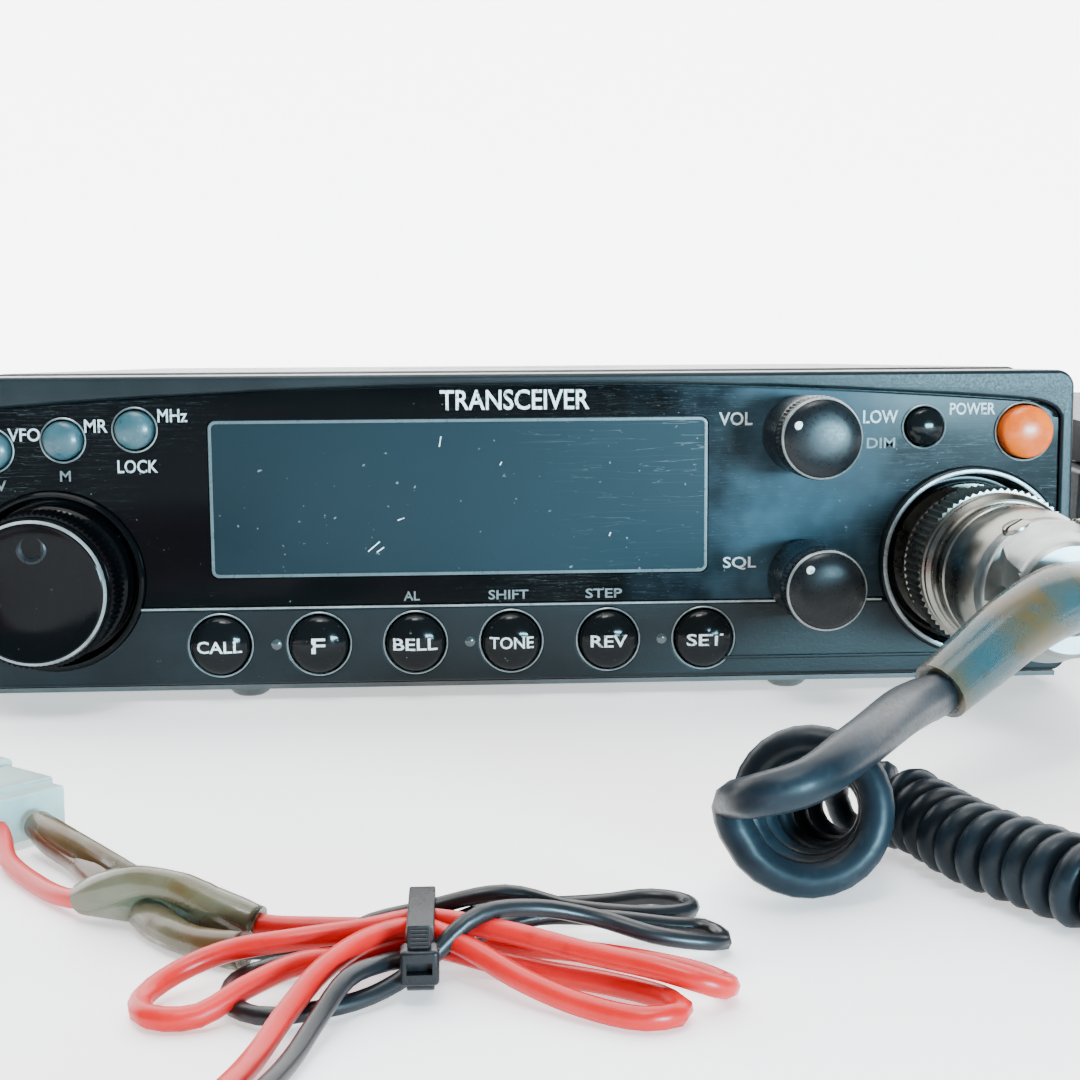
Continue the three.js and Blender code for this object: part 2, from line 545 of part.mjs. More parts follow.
function buildPowerLead() {
  addPart("dc_pigtail", tube(pigtailRoute, pairRadius, 8, 28), redWire);

  const halves = new THREE.Group();
  halves.position.set(connector.x, connector.y, connector.z);
  halves.rotation.z = connector.turn;
  const socket = join([block([-10, -4.6, -2.6], [-0.3, 4.6, 3]), block([-7, -2, 2.9], [-2, 2, 3.9])]);
  const plug = join([block([0, -3.8, -2.2], [7, 3.8, 2.6]), block([6.9, -3.4, -1.9], [9.2, 3.4, 2.2])]);
  addPart("dc_socket_housing", socket, nylon, halves);
  addPart("dc_plug_housing", plug, nylon, halves);
  transceiver.add(halves);

  const redLead = [tube(redWireRoute, wireRadius, 8, 7), tube(redSleeveRoute, sleeveRadius, 8, 8)];
  addPart("dc_lead_red", join(redLead), redWire);
  addPart("dc_lead_black", tube(blackSleeveRoute, sleeveRadius, 8, 12), blackWire);

  // The outer shape of the tied hank, lifted a little where the tie passes under it
  const hank = polygon([
    [-21.9, -164.4], [-21.9, -170.5], [-25.5, -171.3], [-29.8, -175.6], [-29.4, -180], [-24, -181.9], [-16, -181.9],
    [-12.9, -174.4], [-6, -174.8], [2, -181.6], [8, -181.8], [11.6, -172], [11.4, -163], [7, -157.4], [1, -158],
    [-9, -165.6], [-12, -166.4],
  ]);
  const { left, right, bottom } = hankWaist;
  const underTie = block([left, -178, floorZ - 1], [right, -160, bottom]);
  addPart("dc_hank", cut(slab(hank, floorZ, hankTop), [underTie]), redWire);
  const band = cut(block([left + 0.4, -176, floorZ], [right - 0.4, -164.6, hankTop + 1]), [
    block([left - 1, -175.2, bottom - 0.4], [right + 1, -165.3, hankTop + 0.3]),
  ]);
  const tieHead = block([left - 0.2, -178, 0.4], [right + 0.2, -175.7, 3.4]);
  addPart("cable_tie", join([band, tieHead]), darkPlastic);

  addPart("dc_tail", tube(tailRoute, pairRadius, 8, 12), redWire);
  const { inner, outer, height } = coil;
  const ring = [[inner, floorZ], [outer, floorZ], [outer, floorZ + height], [inner, floorZ + height]];
  addPart("dc_coil", turned(ring, 24).rotateX(Math.PI / 2).translate(coil.x, coil.y, 0), redWire);
}

buildFront();
buildKeys();
buildKnobs();
buildBoards();
buildCase();
buildMicPlug();
buildMicCord();
buildHandMic();
buildPowerLead();

export default transceiver;
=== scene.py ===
# A mobile radio transceiver with its hand microphone and power lead
import math
import random

import bmesh
import bpy
from mathutils import Euler, Matrix, Vector


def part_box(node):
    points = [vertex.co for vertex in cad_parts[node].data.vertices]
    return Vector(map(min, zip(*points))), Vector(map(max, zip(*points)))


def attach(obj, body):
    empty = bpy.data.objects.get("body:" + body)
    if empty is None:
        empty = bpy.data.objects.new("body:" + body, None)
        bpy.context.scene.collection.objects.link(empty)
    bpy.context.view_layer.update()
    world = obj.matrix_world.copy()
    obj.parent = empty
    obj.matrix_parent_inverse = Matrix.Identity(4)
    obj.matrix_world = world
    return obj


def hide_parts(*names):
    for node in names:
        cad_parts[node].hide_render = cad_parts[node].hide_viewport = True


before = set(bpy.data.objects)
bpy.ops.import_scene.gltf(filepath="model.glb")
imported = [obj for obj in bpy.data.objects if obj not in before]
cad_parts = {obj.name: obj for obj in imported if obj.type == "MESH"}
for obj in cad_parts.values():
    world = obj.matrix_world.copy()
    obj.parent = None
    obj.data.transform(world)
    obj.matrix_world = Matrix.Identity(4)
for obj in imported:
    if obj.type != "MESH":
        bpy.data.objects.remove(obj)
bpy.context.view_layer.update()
mm = 0.001
root = "transceiver"
floorZ = -1.2  # mm, what the set stands on
print("frame loaded")


def at(x, y, z):
    return Vector((x * mm, y * mm, z * mm))


def middle(node):
    low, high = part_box(node)
    return (low + high) / 2 / mm


# ---------- camera ----------
camera = {
    "target": (2.4, -80, 18.6),  # mm
    "distance": 200,
    "elevation": 6.5,  # degrees
    "azimuth": -3.0,
    "roll": -0.4,
    "lens": 53.33,
}


def makeCamera():
    lens = bpy.data.cameras.new("camera")
    lens.lens = camera["lens"]
    lens.sensor_width = 36
    lens.clip_start = 0.01
    holder = bpy.data.objects.new("camera", lens)
    bpy.context.collection.objects.link(holder)
    azimuth, elevation = math.radians(camera["azimuth"]), math.radians(camera["elevation"])
    back = Vector((math.sin(azimuth), -math.cos(azimuth), math.tan(elevation))).normalized()
    turn = back.to_track_quat("Z", "Y") @ Euler((0, 0, math.radians(camera["roll"]))).to_quaternion()
    place = at(*camera["target"]) + back * camera["distance"] * mm
    holder.matrix_world = Matrix.Translation(place) @ turn.to_matrix().to_4x4()
    bpy.context.scene.camera = holder


makeCamera()


# ---------- making and finishing pieces ----------
def deselect():
    if bpy.context.mode != "OBJECT":
        bpy.ops.object.mode_set(mode="OBJECT")
    bpy.ops.object.select_all(action="DESELECT")


def pick(piece):
    deselect()
    piece.select_set(True)
    bpy.context.view_layer.objects.active = piece


def edit(piece, select="SELECT"):
    pick(piece)
    bpy.ops.object.mode_set(mode="EDIT")
    bpy.ops.mesh.select_all(action=select)


def addModifier(piece, kind, **settings):
    pick(piece)
    modifier = piece.modifiers.new(kind.lower(), kind)
    for key, value in settings.items():
        setattr(modifier, key, value)
    bpy.ops.object.modifier_apply(modifier=modifier.name)


def tidy(piece, merge=0.004):
    edit(piece)
    bpy.ops.mesh.remove_doubles(threshold=merge * mm)
    bpy.ops.mesh.normals_make_consistent(inside=False)
    bpy.ops.object.mode_set(mode="OBJECT")


def move(piece, place=(0, 0, 0), turn=(0, 0, 0)):
    # a piece's place and turn go into its mesh
    matrix = Matrix.Translation(at(*place)) @ Euler([math.radians(a) for a in turn]).to_matrix().to_4x4()
    piece.data.transform(matrix @ piece.matrix_world)
    piece.matrix_world = Matrix.Identity(4)


def joined(name, pieces):
    deselect()
    for piece in pieces:
        piece.select_set(True)
    bpy.context.view_layer.objects.active = pieces[0]
    if len(pieces) > 1:
        bpy.ops.object.join()
    pieces[0].name = name
    return pieces[0]


def finished(piece, name, body, slotName, material, nodes=(), smooth=32):
    pick(piece)
    bpy.ops.object.transform_apply(location=True, rotation=True, scale=True)
    bpy.ops.object.shade_smooth_by_angle(angle=math.radians(smooth))
    # large flat faces stay flat beside their rounded edges
    addModifier(piece, "WEIGHTED_NORMAL", keep_sharp=True)
    piece.name = name
    piece.data.name = name
    piece.data.materials.clear()
    piece.data.materials.append(material)
    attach(piece, body)
    if nodes:
        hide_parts(*nodes)
    return piece


def turned(profile, spot=(0, 0), steps=48, axis="Y"):
    # a profile of (radius, along) drawn point by point, then spun; a ring's profile ends where it starts
    deselect()
    bpy.ops.mesh.primitive_plane_add(size=mm)
    piece = bpy.context.object
    bpy.ops.object.mode_set(mode="EDIT")
    shape = bmesh.from_edit_mesh(piece.data)
    shape.verts.ensure_lookup_table()
    bmesh.ops.delete(shape, geom=list(shape.verts)[1:], context="VERTS")
    shape.verts.ensure_lookup_table()
    shape.verts[0].co = at(profile[0][0], profile[0][1], 0)
    shape.verts[0].select = True
    bmesh.update_edit_mesh(piece.data)
    for (r0, y0), (r1, y1) in zip(profile, profile[1:]):
        bpy.ops.mesh.extrude_region_move(TRANSFORM_OT_translate={"value": at(r1 - r0, y1 - y0, 0)})
    bpy.ops.mesh.select_all(action="SELECT")
    bpy.ops.mesh.spin(steps=steps, angle=2 * math.pi, center=(0, 0, 0), axis=(0, 1, 0))
    tidy(piece)
    turn = {"Y": (0, 0, 0), "Z": (90, 0, 0), "X": (0, 0, -90)}[axis]
    place = {"Y": (spot[0], 0, spot[1]), "Z": (spot[0], spot[1], 0), "X": (0, spot[0], spot[1])}[axis]
    move(piece, place, turn)
    return piece


def ribbed(radius, depth, inner, front, back, teeth, spot=(0, 0)):
    # a ring about Y whose outside is pressed into fine teeth
    deselect()
    bpy.ops.mesh.primitive_circle_add(vertices=2 * teeth, radius=radius * mm, rotation=(math.pi / 2, 0, 0))
    piece = bpy.context.object
    bpy.ops.object.transform_apply(location=False, rotation=True, scale=False)
    for i, point in enumerate(piece.data.vertices):
        if i % 2:
            point.co *= 1 - depth / radius
    edit(piece)
    bpy.ops.mesh.extrude_region_move(TRANSFORM_OT_translate={"value": at(0, back - front, 0)})
    bpy.ops.mesh.extrude_region_move(TRANSFORM_OT_translate={"value": (0, 0, 0)})
    scale = (inner / radius, 1, inner / radius)
    middlePoint = at(0, back - front, 0)
    bpy.ops.transform.resize(value=scale, center_override=middlePoint)
    bpy.ops.mesh.extrude_region_move(TRANSFORM_OT_translate={"value": at(0, front - back, 0)})
    bpy.ops.mesh.select_all(action="DESELECT")
    bpy.ops.mesh.select_non_manifold()
    bpy.ops.mesh.bridge_edge_loops()
    tidy(piece)
    move(piece, (spot[0], front, spot[1]))
    return piece


def box(low, high, edge=0.3, segments=2):
    deselect()
    centre = [(a + b) / 2 for a, b in zip(low, high)]
    bpy.ops.mesh.primitive_cube_add(size=1, location=at(*centre))
    piece = bpy.context.object
    piece.scale = [(b - a) * mm for a, b in zip(low, high)]
    bpy.ops.object.transform_apply(location=True, rotation=True, scale=True)
    if edge:
        addModifier(piece, "BEVEL", width=edge * mm, segments=segments, limit_method="NONE")
    return piece


def roundedRectangle(left, bottom, right, top, radius, points=8):
    corners = [(right, bottom, -90), (right, top, 0), (left, top, 90), (left, bottom, 180)]
    outline = []
    for x, z, start in corners:
        cx = x - radius if x == right else x + radius
        cz = z - radius if z == top else z + radius
        for i in range(points + 1):
            turn = math.radians(start + 90 * i / points)
            outline.append((cx + radius * math.cos(turn), cz + radius * math.sin(turn)))
    return outline


def circle(x, z, radius, points=48):
    turns = [2 * math.pi * i / points for i in range(points)]
    return [(x + radius * math.cos(t), z + radius * math.sin(t)) for t in turns]


def plate(outlines, front, back, edge=0.15):
    # outlines in X and Z filled as a flat curve with rounded edges, then made a mesh
    curve = bpy.data.curves.new("plate", "CURVE")
    curve.dimensions = "2D"
    curve.fill_mode = "BOTH"
    curve.extrude = ((back - front) / 2 - edge) * mm
    curve.bevel_depth = edge * mm
    curve.bevel_resolution = 2
    curve.offset = -edge * mm
    for outline in outlines:
        spline = curve.splines.new("POLY")
        spline.points.add(len(outline) - 1)
        for point, (x, z) in zip(spline.points, outline):
            point.co = (x * mm, z * mm, 0, 1)
        spline.use_cyclic_u = True
    piece = bpy.data.objects.new("plate", curve)
    bpy.context.collection.objects.link(piece)
    pick(piece)
    bpy.ops.object.convert(target="MESH")
    piece = bpy.context.object
    tidy(piece, 0.002)
    move(piece, (0, (front + back) / 2, 0), (90, 0, 0))
    return piece


def bored(piece, tools):
    # cuts round or square tools out of a piece
    for tool in tools:
        addModifier(piece, "BOOLEAN", operation="DIFFERENCE", solver="EXACT", object=tool)
        bpy.data.objects.remove(tool)
    if not piece.data.polygons:
        raise RuntimeError(piece.name + " is empty after its cuts")
    return piece


def rod(spot, radius, front, back, steps=64):
    deselect()
    bpy.ops.mesh.primitive_cylinder_add(
        vertices=steps,
        radius=radius * mm,
        depth=(back - front) * mm,
        location=at(spot[0], (front + back) / 2, spot[1]),
        rotation=(math.pi / 2, 0, 0),
    )
    bpy.ops.object.transform_apply(location=True, rotation=True, scale=True)
    return bpy.context.object


def refined(nodes, edge=0.3, segments=2, angle=40, flatten=1.0):
    # a merged copy of CAD nodes with its flat faces cleaned and its edges rounded
    copies = []
    for node in [nodes] if isinstance(nodes, str) else nodes:
        copy = bpy.data.objects.new(node + "_copy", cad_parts[node].data.copy())
        bpy.context.collection.objects.link(copy)
        copies.append(copy)
    piece = joined("copy", copies)
    for key in list(piece.keys()):
        del piece[key]
    edit(piece)
    bpy.ops.mesh.remove_doubles(threshold=0.002 * mm)
    bpy.ops.mesh.dissolve_limited(angle_limit=math.radians(flatten))
    bpy.ops.object.mode_set(mode="OBJECT")
    if edge:
        addModifier(
            piece, "BEVEL", width=edge * mm, segments=segments, limit_method="ANGLE",
            angle_limit=math.radians(angle), use_clamp_overlap=True,
        )
    return piece


def tubeAlong(points, radii, sides=10):
    # a closed round tube through close points; radii is one radius or one for each point
    count = len(points)
    radii = radii if isinstance(radii, list) else [radii] * count
    places = [at(*p) for p in points]
    verts, faces = [], []
    side = None
    for i, place in enumerate(places):
        ahead = (places[min(i + 1, count - 1)] - places[max(i - 1, 0)]).normalized()
        if side is None:
            side = ahead.cross(Vector((0, 0, 1)))
            side = side if side.length > 0.1 else Vector((1, 0, 0))
        side = (side - ahead * side.dot(ahead)).normalized()
        up = side.cross(ahead)
        for j in range(sides):
            turn = 2 * math.pi * j / sides
            verts.append(place + (side * math.cos(turn) + up * math.sin(turn)) * radii[i] * mm)
    for i in range(count - 1):
        for j in range(sides):
            k = (j + 1) % sides
            faces.append((i * sides + j, i * sides + k, (i + 1) * sides + k, (i + 1) * sides + j))
    faces.append(tuple(reversed(range(sides))))
    faces.append(tuple((count - 1) * sides + j for j in range(sides)))
    mesh = bpy.data.meshes.new("tube")
    mesh.from_pydata(verts, [], faces)
    along = mesh.attributes.new("along", "FLOAT", "POINT")
    length = 0.0
    for i in range(count):
        length += (places[i] - places[max(i - 1, 0)]).length
        for j in range(sides):
            along.data[i * sides + j].value = length / mm
    piece = bpy.data.objects.new("tube", mesh)
    bpy.context.collection.objects.link(piece)
    edit(piece)
    bpy.ops.mesh.normals_make_consistent(inside=False)
    bpy.ops.object.mode_set(mode="OBJECT")
    return piece


def smoothLine(points, spacing=1.0):
    # a centripetal curve through the places of a route, at even spacing
    places = [Vector(p) for p in points]
    places = [places[0] * 2 - places[1]] + places + [places[-1] * 2 - places[-2]]
    fine = []
    for i in range(1, len(places) - 2):
        p0, p1, p2, p3 = places[i - 1 : i + 3]
        t0, t1 = 0.0, (p1 - p0).length ** 0.5
        t2 = t1 + (p2 - p1).length ** 0.5
        t3 = t2 + (p3 - p2).length ** 0.5
        for k in range(16):
            t = t1 + (t2 - t1) * k / 16
            a1 = p0 * ((t1 - t) / (t1 - t0)) + p1 * ((t - t0) / (t1 - t0))
            a2 = p1 * ((t2 - t) / (t2 - t1)) + p2 * ((t - t1) / (t2 - t1))
            a3 = p2 * ((t3 - t) / (t3 - t2)) + p3 * ((t - t2) / (t3 - t2))
            b1 = a1 * ((t2 - t) / (t2 - t0)) + a2 * ((t - t0) / (t2 - t0))
            b2 = a2 * ((t3 - t) / (t3 - t1)) + a3 * ((t - t1) / (t3 - t1))
            fine.append(b1 * ((t2 - t) / (t2 - t1)) + b2 * ((t - t1) / (t2 - t1)))
    fine.append(places[-2])
    return evenly(fine, spacing)


def evenly(fine, spacing):
    lengths = [0.0]
    for a, b in zip(fine, fine[1:]):
        lengths.append(lengths[-1] + (Vector(b) - Vector(a)).length)
    count = max(2, round(lengths[-1] / spacing))
    spaced, j = [], 0
    for i in range(count + 1):
        goal = lengths[-1] * i / count
        while j < len(fine) - 2 and lengths[j + 1] < goal:
            j += 1
        share = (goal - lengths[j]) / max(lengths[j + 1] - lengths[j], 1e-9)
        spaced.append(tuple(Vector(fine[j]).lerp(Vector(fine[j + 1]), min(1, max(0, share)))))
    return spaced


def lengthOf(points):
    return sum((Vector(b) - Vector(a)).length for a, b in zip(points, points[1:])) * mm


def inMetres(points):
    return [tuple(c * mm for c in p) for p in points]


# ---------- shader maths ----------
class Value:
    # one socket of a finish, so that maths on it reads as maths
    def __init__(self, finish, socket):
        self.finish = finish
        self.socket = socket

    def maths(self, operation, *others):
        return self.finish.node("Math", {"operation": operation}, dict(enumerate((self, *others))))

    def __add__(self, other):
        return self.maths("ADD", other)

    def __sub__(self, other):
        return self.maths("SUBTRACT", other)

    def __rsub__(self, other):
        return self.finish.node("Math", {"operation": "SUBTRACT"}, {0: other, 1: self})

    def __mul__(self, other):
        return self.maths("MULTIPLY", other)

    __radd__ = __add__
    __rmul__ = __mul__


class Finish:
    # a material with one shader; plain numbers and colours are set on the shader's own sockets
    def __init__(self, name, **uniform):
        self.material = bpy.data.materials.new(name)
        self.material.use_nodes = True
        self.tree = self.material.node_tree
        self.shader = self.tree.nodes["Principled BSDF"]
        self.set(**uniform)
        self.place = self.node("TexCoord", {}, {}, "Object")

    def node(self, kind, settings, values, output=0):
        node = self.tree.nodes.new("ShaderNode" + kind)
        for key, value in settings.items():
            if key == "stops":
                ramp = node.color_ramp
                while len(ramp.elements) < len(value):
                    ramp.elements.new(0.5)
                for element, (position, colour) in zip(ramp.elements, value):
                    element.position = position
                    element.color = (*colour, 1) if len(colour) == 3 else colour
            else:
                setattr(node, key, value)
        for key, value in values.items():
            self.feed(node.inputs[key], value)
        return Value(self, node.outputs[output])

    def feed(self, socket, value):
        if isinstance(value, Value):
            self.tree.links.new(value.socket, socket)
        elif hasattr(socket.default_value, "__len__") and len(socket.default_value) == 4 and len(value) == 3:
            socket.default_value = (*value, 1)
        else:
            socket.default_value = value

    def set(self, **values):
        for key, value in values.items():
            self.feed(self.shader.inputs[key.replace("_", " ")], value)

    def noise(self, scale, detail=3, rough=0.5, stretch=None, turn=(0, 0, 0)):
        place = self.place
        if stretch:
            place = self.node("Mapping", {}, {"Vector": place, "Scale": stretch, "Rotation": turn})
        return self.node(
            "TexNoise", {}, {"Vector": place, "Scale": scale, "Detail": detail, "Roughness": rough}, "Fac"
        )

    def ramp(self, value, *stops):
        return self.node("ValToRGB", {"stops": stops}, {0: value})

    def level(self, value, low, high, start=0.0, end=1.0):
        # value from low to high becomes start to end, held at both ends
        keys = {0: value, 1: low, 2: high, 3: start, 4: end}
        return self.node("MapRange", {"clamp": True}, keys)

    def mixed(self, factor, first, second):
        return self.node("Mix", {"data_type": "RGBA"}, {0: factor, 6: first, 7: second}, 2)

    def scratches(self, scale, amount, turn, stretch=(1, 1, 30)):
        # long thin marks where a stretched noise crosses its middle
        marks = self.noise(scale, 2, 0.6, stretch, turn)
        patches = self.noise(scale * 0.25, 2, 0.5)
        line = self.level((marks - 0.5).maths("ABSOLUTE"), 0.0, 0.006, 1.0, 0.0)
        return line * self.level(patches, 0.62 - amount, 0.7, 0.0, 1.0)

    def bump(self, height, strength=0.3, distance=0.05):
        normal = self.node("Bump", {}, {"Height": height, "Strength": strength, "Distance": distance * mm})
        self.set(Normal=normal)


# ---------- finishes ----------
def bezelPlastic():
    f = Finish("bezelPlastic", Specular_IOR_Level=0.17)
    speck = f.noise(2600, 2, 0.6)
    dust = f.noise(900, 3, 0.7)
    blotch = f.noise(60, 3, 0.55)
    base = f.mixed(f.level(blotch, 0.35, 0.7), (0.004, 0.0068, 0.0078), (0.009, 0.014, 0.016))
    specks = f.level(dust, 0.68, 0.74) * 0.35
    worn = f.scratches(140, 0.12, (0.4, 0.9, 0.3))
    f.set(
        Base_Color=f.mixed(specks * 0.7 + worn * 0.3, base, (0.1, 0.13, 0.14)),
        Roughness=f.level(speck, 0.3, 0.7, 0.3, 0.42) + worn * 0.15,
    )
    f.bump(speck * 0.7 + dust * 0.3, 0.35, 0.06)
    return f.material


def glossBlack(name, painted_reflection_haze=0.0, marks=0.1):
    f = Finish(name, Specular_IOR_Level=0.09, Coat_Weight=0.01, Coat_Roughness=0.04)
    smear = f.noise(55, 4, 0.6)
    fine = f.scratches(120, marks, (0.3, 0.7, 1.1))
    crossing = f.scratches(90, marks * 0.7, (1.2, 0.2, 0.5), (1, 1, 40))
    lint = f.level(f.noise(1500, 2, 0.5), 0.75, 0.79)
    wear = fine + crossing
    base = f.mixed(f.level(smear, 0.5, 0.8) * painted_reflection_haze, (0.0022, 0.0026, 0.003), (0.02, 0.032, 0.038))
    f.set(
        Base_Color=f.mixed(wear * 0.35 + lint * 0.3, base, (0.2, 0.24, 0.25)),
        Roughness=f.level(smear, 0.4, 0.75, 0.1, 0.2) + wear * 0.25,
    )
    f.bump(smear * 0.5 - wear * 0.5, 0.08, 0.05)
    return f.material


def fasciaGloss():
    # darkest in the middle, with a painted grey-blue reflection laid as a haze between the two small knobs
    f = Finish("fasciaGloss", Specular_IOR_Level=0.04)
    smear = f.noise(48, 4, 0.62)
    split = f.node("SeparateXYZ", {}, {0: f.place})
    across = Value(f, split.socket)
    painted_reflection_band = f.level((across - 0.0345).maths("ABSOLUTE"), 0.004, 0.022, 1.0, 0.0)
    fine = f.scratches(110, 0.16, (0.3, 0.7, 1.1))
    crossing = f.scratches(80, 0.12, (1.2, 0.2, 0.5), (1, 1, 40))
    lint = f.level(f.noise(1300, 2, 0.5), 0.74, 0.78)
    wear = fine + crossing
    # painted reflection: a lighter grey-blue band between the knobs stands in for light reflected there
    painted_reflection_haze = f.level(smear, 0.38, 0.72) * painted_reflection_band
    base = f.mixed(painted_reflection_haze, (0.002, 0.0026, 0.003), (0.04, 0.08, 0.105))
    f.set(
        Base_Color=f.mixed(wear * 0.35 + lint * 0.35, base, (0.22, 0.27, 0.28)),
        Roughness=f.level(smear, 0.4, 0.75, 0.09, 0.2) + painted_reflection_haze * 0.2 + wear * 0.2,
    )
    f.bump(smear * 0.5 - wear * 0.5, 0.08, 0.05)
    return f.material


def displayGlass():
    f = Finish("displayGlass", Specular_IOR_Level=0.06)
    split = f.node("SeparateXYZ", {}, {0: f.place})
    across = Value(f, split.socket)
    cloud = f.noise(40, 3, 0.5)
    nick = f.scratches(60, 0.1, (0.2, 0.9, 0.6), (1, 1, 18))
    speck = f.level(f.noise(1100, 2, 0.5), 0.73, 0.77)
    # painted sheen: the tint grows lighter towards the right, standing in for light reflected from that side
    painted_sheen_slope = f.level(across, -0.038, 0.024)
    base = f.mixed(painted_sheen_slope * 0.6 + cloud * 0.35, (0.008, 0.016, 0.02), (0.016, 0.034, 0.043))
    f.set(
        Base_Color=f.mixed(nick * 0.35 + speck * 0.4, base, (0.3, 0.36, 0.36)),
        Roughness=f.level(cloud, 0.3, 0.7, 0.18, 0.26),
    )
    f.bump(cloud, 0.05, 0.05)
    return f.material


def plain(name, base, other, roughness, scale=300, bump=0.15, fine=2200, **uniform):
    # a moulded, cast or painted finish: two shades in blotches, a fine grain and a little wear
    f = Finish(name, **uniform)
    blotch = f.noise(scale, 4, 0.6)
    grain = f.noise(fine, 2, 0.6)
    mark = f.scratches(scale * 0.5, 0.08, (0.5, 0.8, 0.2))
    bright = tuple(min(1, c * 2.2 + 0.03) for c in other)
    f.set(
        Base_Color=f.mixed(mark * 0.3, f.mixed(f.level(blotch, 0.35, 0.68), base, other), bright),
        Roughness=f.level(grain, 0.3, 0.7, roughness * 0.85, roughness * 1.15) + mark * 0.1,
    )
    f.bump(grain * 0.6 + blotch * 0.4, bump, 0.06)
    return f.material


def keyBlack():
    f = Finish("keyBlack", Specular_IOR_Level=0.14, Coat_Weight=0.04, Coat_Roughness=0.03)
    smear = f.noise(260, 3, 0.6)
    lint = f.level(f.noise(1700, 2, 0.5), 0.72, 0.77)
    f.set(
        Base_Color=f.mixed(lint * 0.4, (0.004, 0.005, 0.0055), (0.2, 0.23, 0.24)),
        Roughness=f.level(smear, 0.35, 0.75, 0.08, 0.2),
    )
    f.bump(smear, 0.06, 0.04)
    return f.material


def keyTeal():
    f = Finish("keyTeal", Specular_IOR_Level=0.35, Coat_Weight=0.12, Coat_Roughness=0.12,
               Subsurface_Weight=0.2, Subsurface_Scale=0.001)
    cloud = f.noise(420, 3, 0.6)
    dust = f.level(f.noise(1900, 2, 0.5), 0.66, 0.74)
    base = f.mixed(f.level(cloud, 0.3, 0.7), (0.02, 0.06, 0.072), (0.045, 0.095, 0.108))
    f.set(Base_Color=f.mixed(dust * 0.3, base, (0.2, 0.28, 0.28)),
          Roughness=f.level(cloud, 0.3, 0.7, 0.25, 0.38))
    f.bump(cloud, 0.1, 0.04)
    return f.material


def keyOrange():
    f = Finish("keyOrange", Specular_IOR_Level=0.3, Coat_Weight=0.1, Coat_Roughness=0.15)
    cloud = f.noise(300, 3, 0.6)
    dirt = f.level(f.noise(1500, 3, 0.6), 0.64, 0.76)
    base = f.mixed(f.level(cloud, 0.3, 0.7), (0.62, 0.075, 0.003), (0.78, 0.13, 0.006))
    f.set(Base_Color=f.mixed(dirt * 0.5, base, (0.25, 0.07, 0.03)),
          Roughness=f.level(cloud, 0.3, 0.7, 0.22, 0.34))
    f.bump(cloud, 0.1, 0.04)
    return f.material


def nickel(name="nickel", base=(0.27, 0.265, 0.235), rough=0.22):
    f = Finish(name, Metallic=1.0)
    stain = f.noise(160, 4, 0.65)
    ring = f.noise(700, 2, 0.5, (1, 8, 1))
    mark = f.scratches(260, 0.14, (0.5, 0.3, 0.9))
    dull = tuple(c * 0.55 for c in base)
    f.set(
        Base_Color=f.mixed(f.level(stain, 0.35, 0.7), dull, base),
        Roughness=f.level(stain, 0.3, 0.75, rough, rough + 0.18) + mark * 0.12,
    )
    f.bump(ring * 0.6 + mark * 0.4, 0.12, 0.03)
    return f.material


def agedSleeve(name, clear, stain, alpha):
    # once clear tubing, gone yellow-brown in patches
    f = Finish(name, Coat_Weight=0.15, Coat_Roughness=0.12, IOR=1.4)
    patch = f.noise(130, 4, 0.6)
    fleck = f.noise(700, 3, 0.6)
    base = f.mixed(f.level(patch, 0.38, 0.62), clear, stain)
    f.set(
        Base_Color=f.mixed(f.level(fleck, 0.62, 0.72) * 0.4, base, tuple(c * 0.35 for c in stain)),
        Roughness=f.level(patch, 0.3, 0.7, 0.16, 0.36),
        Alpha=f.level(patch, 0.3, 0.7, alpha, min(1, alpha + 0.3)),
    )
    f.bump(patch * 0.6 + fleck * 0.4, 0.25, 0.08)
    return f.material


def cordRubber():
    f = Finish("cordRubber", Specular_IOR_Level=0.16)
    cloud = f.noise(180, 4, 0.6)
    grain = f.noise(2400, 2, 0.6)
    dusty = f.level(f.noise(500, 3, 0.6), 0.6, 0.78)
    base = f.mixed(f.level(cloud, 0.35, 0.7), (0.004, 0.007, 0.010), (0.009, 0.016, 0.022))
    f.set(Base_Color=f.mixed(dusty * 0.3, base, (0.035, 0.045, 0.05)),
          Roughness=f.level(grain, 0.3, 0.7, 0.33, 0.45))
    f.bump(grain * 0.5 + cloud * 0.5, 0.15, 0.05)
    return f.material


def wirePlastic(name, base, other, dirt):
    f = Finish(name, Specular_IOR_Level=0.3, Coat_Weight=0.05, Coat_Roughness=0.25)
    cloud = f.noise(140, 4, 0.6)
    grime = f.level(f.noise(420, 4, 0.65), 0.6, 0.74)
    f.set(
        Base_Color=f.mixed(grime * 0.3, f.mixed(f.level(cloud, 0.35, 0.68), base, other), dirt),
        Roughness=f.level(cloud, 0.3, 0.7, 0.3, 0.42),
    )
    f.bump(cloud * 0.6 + grime * 0.4, 0.12, 0.06)
    return f.material


def legendInk(name, colour, fade=0.0):
    # printed lettering with worn-through specks
    f = Finish(name, Roughness=0.5)
    worn = f.level(f.noise(1500, 3, 0.65), 0.56, 0.66) * 0.8 + fade
    f.set(Base_Color=f.mixed(worn, colour, (0.03, 0.035, 0.036)))
    f.bump(worn, 0.1, 0.02)
    return f.material


def circuitGreen():
    f = Finish("circuitGreen", Coat_Weight=0.4, Coat_Roughness=0.15)
    weave = f.node("TexBrick", {}, {"Vector": f.place, "Scale": 380.0, "Mortar Size": 0.012}, "Fac")
    cloud = f.noise(220, 3, 0.6)
    base = f.mixed(f.level(cloud, 0.3, 0.7), (0.008, 0.07, 0.035), (0.015, 0.12, 0.055))
    f.set(Base_Color=f.mixed(weave * 0.5, base, (0.03, 0.2, 0.08)),
          Roughness=f.level(cloud, 0.3, 0.7, 0.3, 0.45))
    f.bump(weave, 0.2, 0.03)
    return f.material


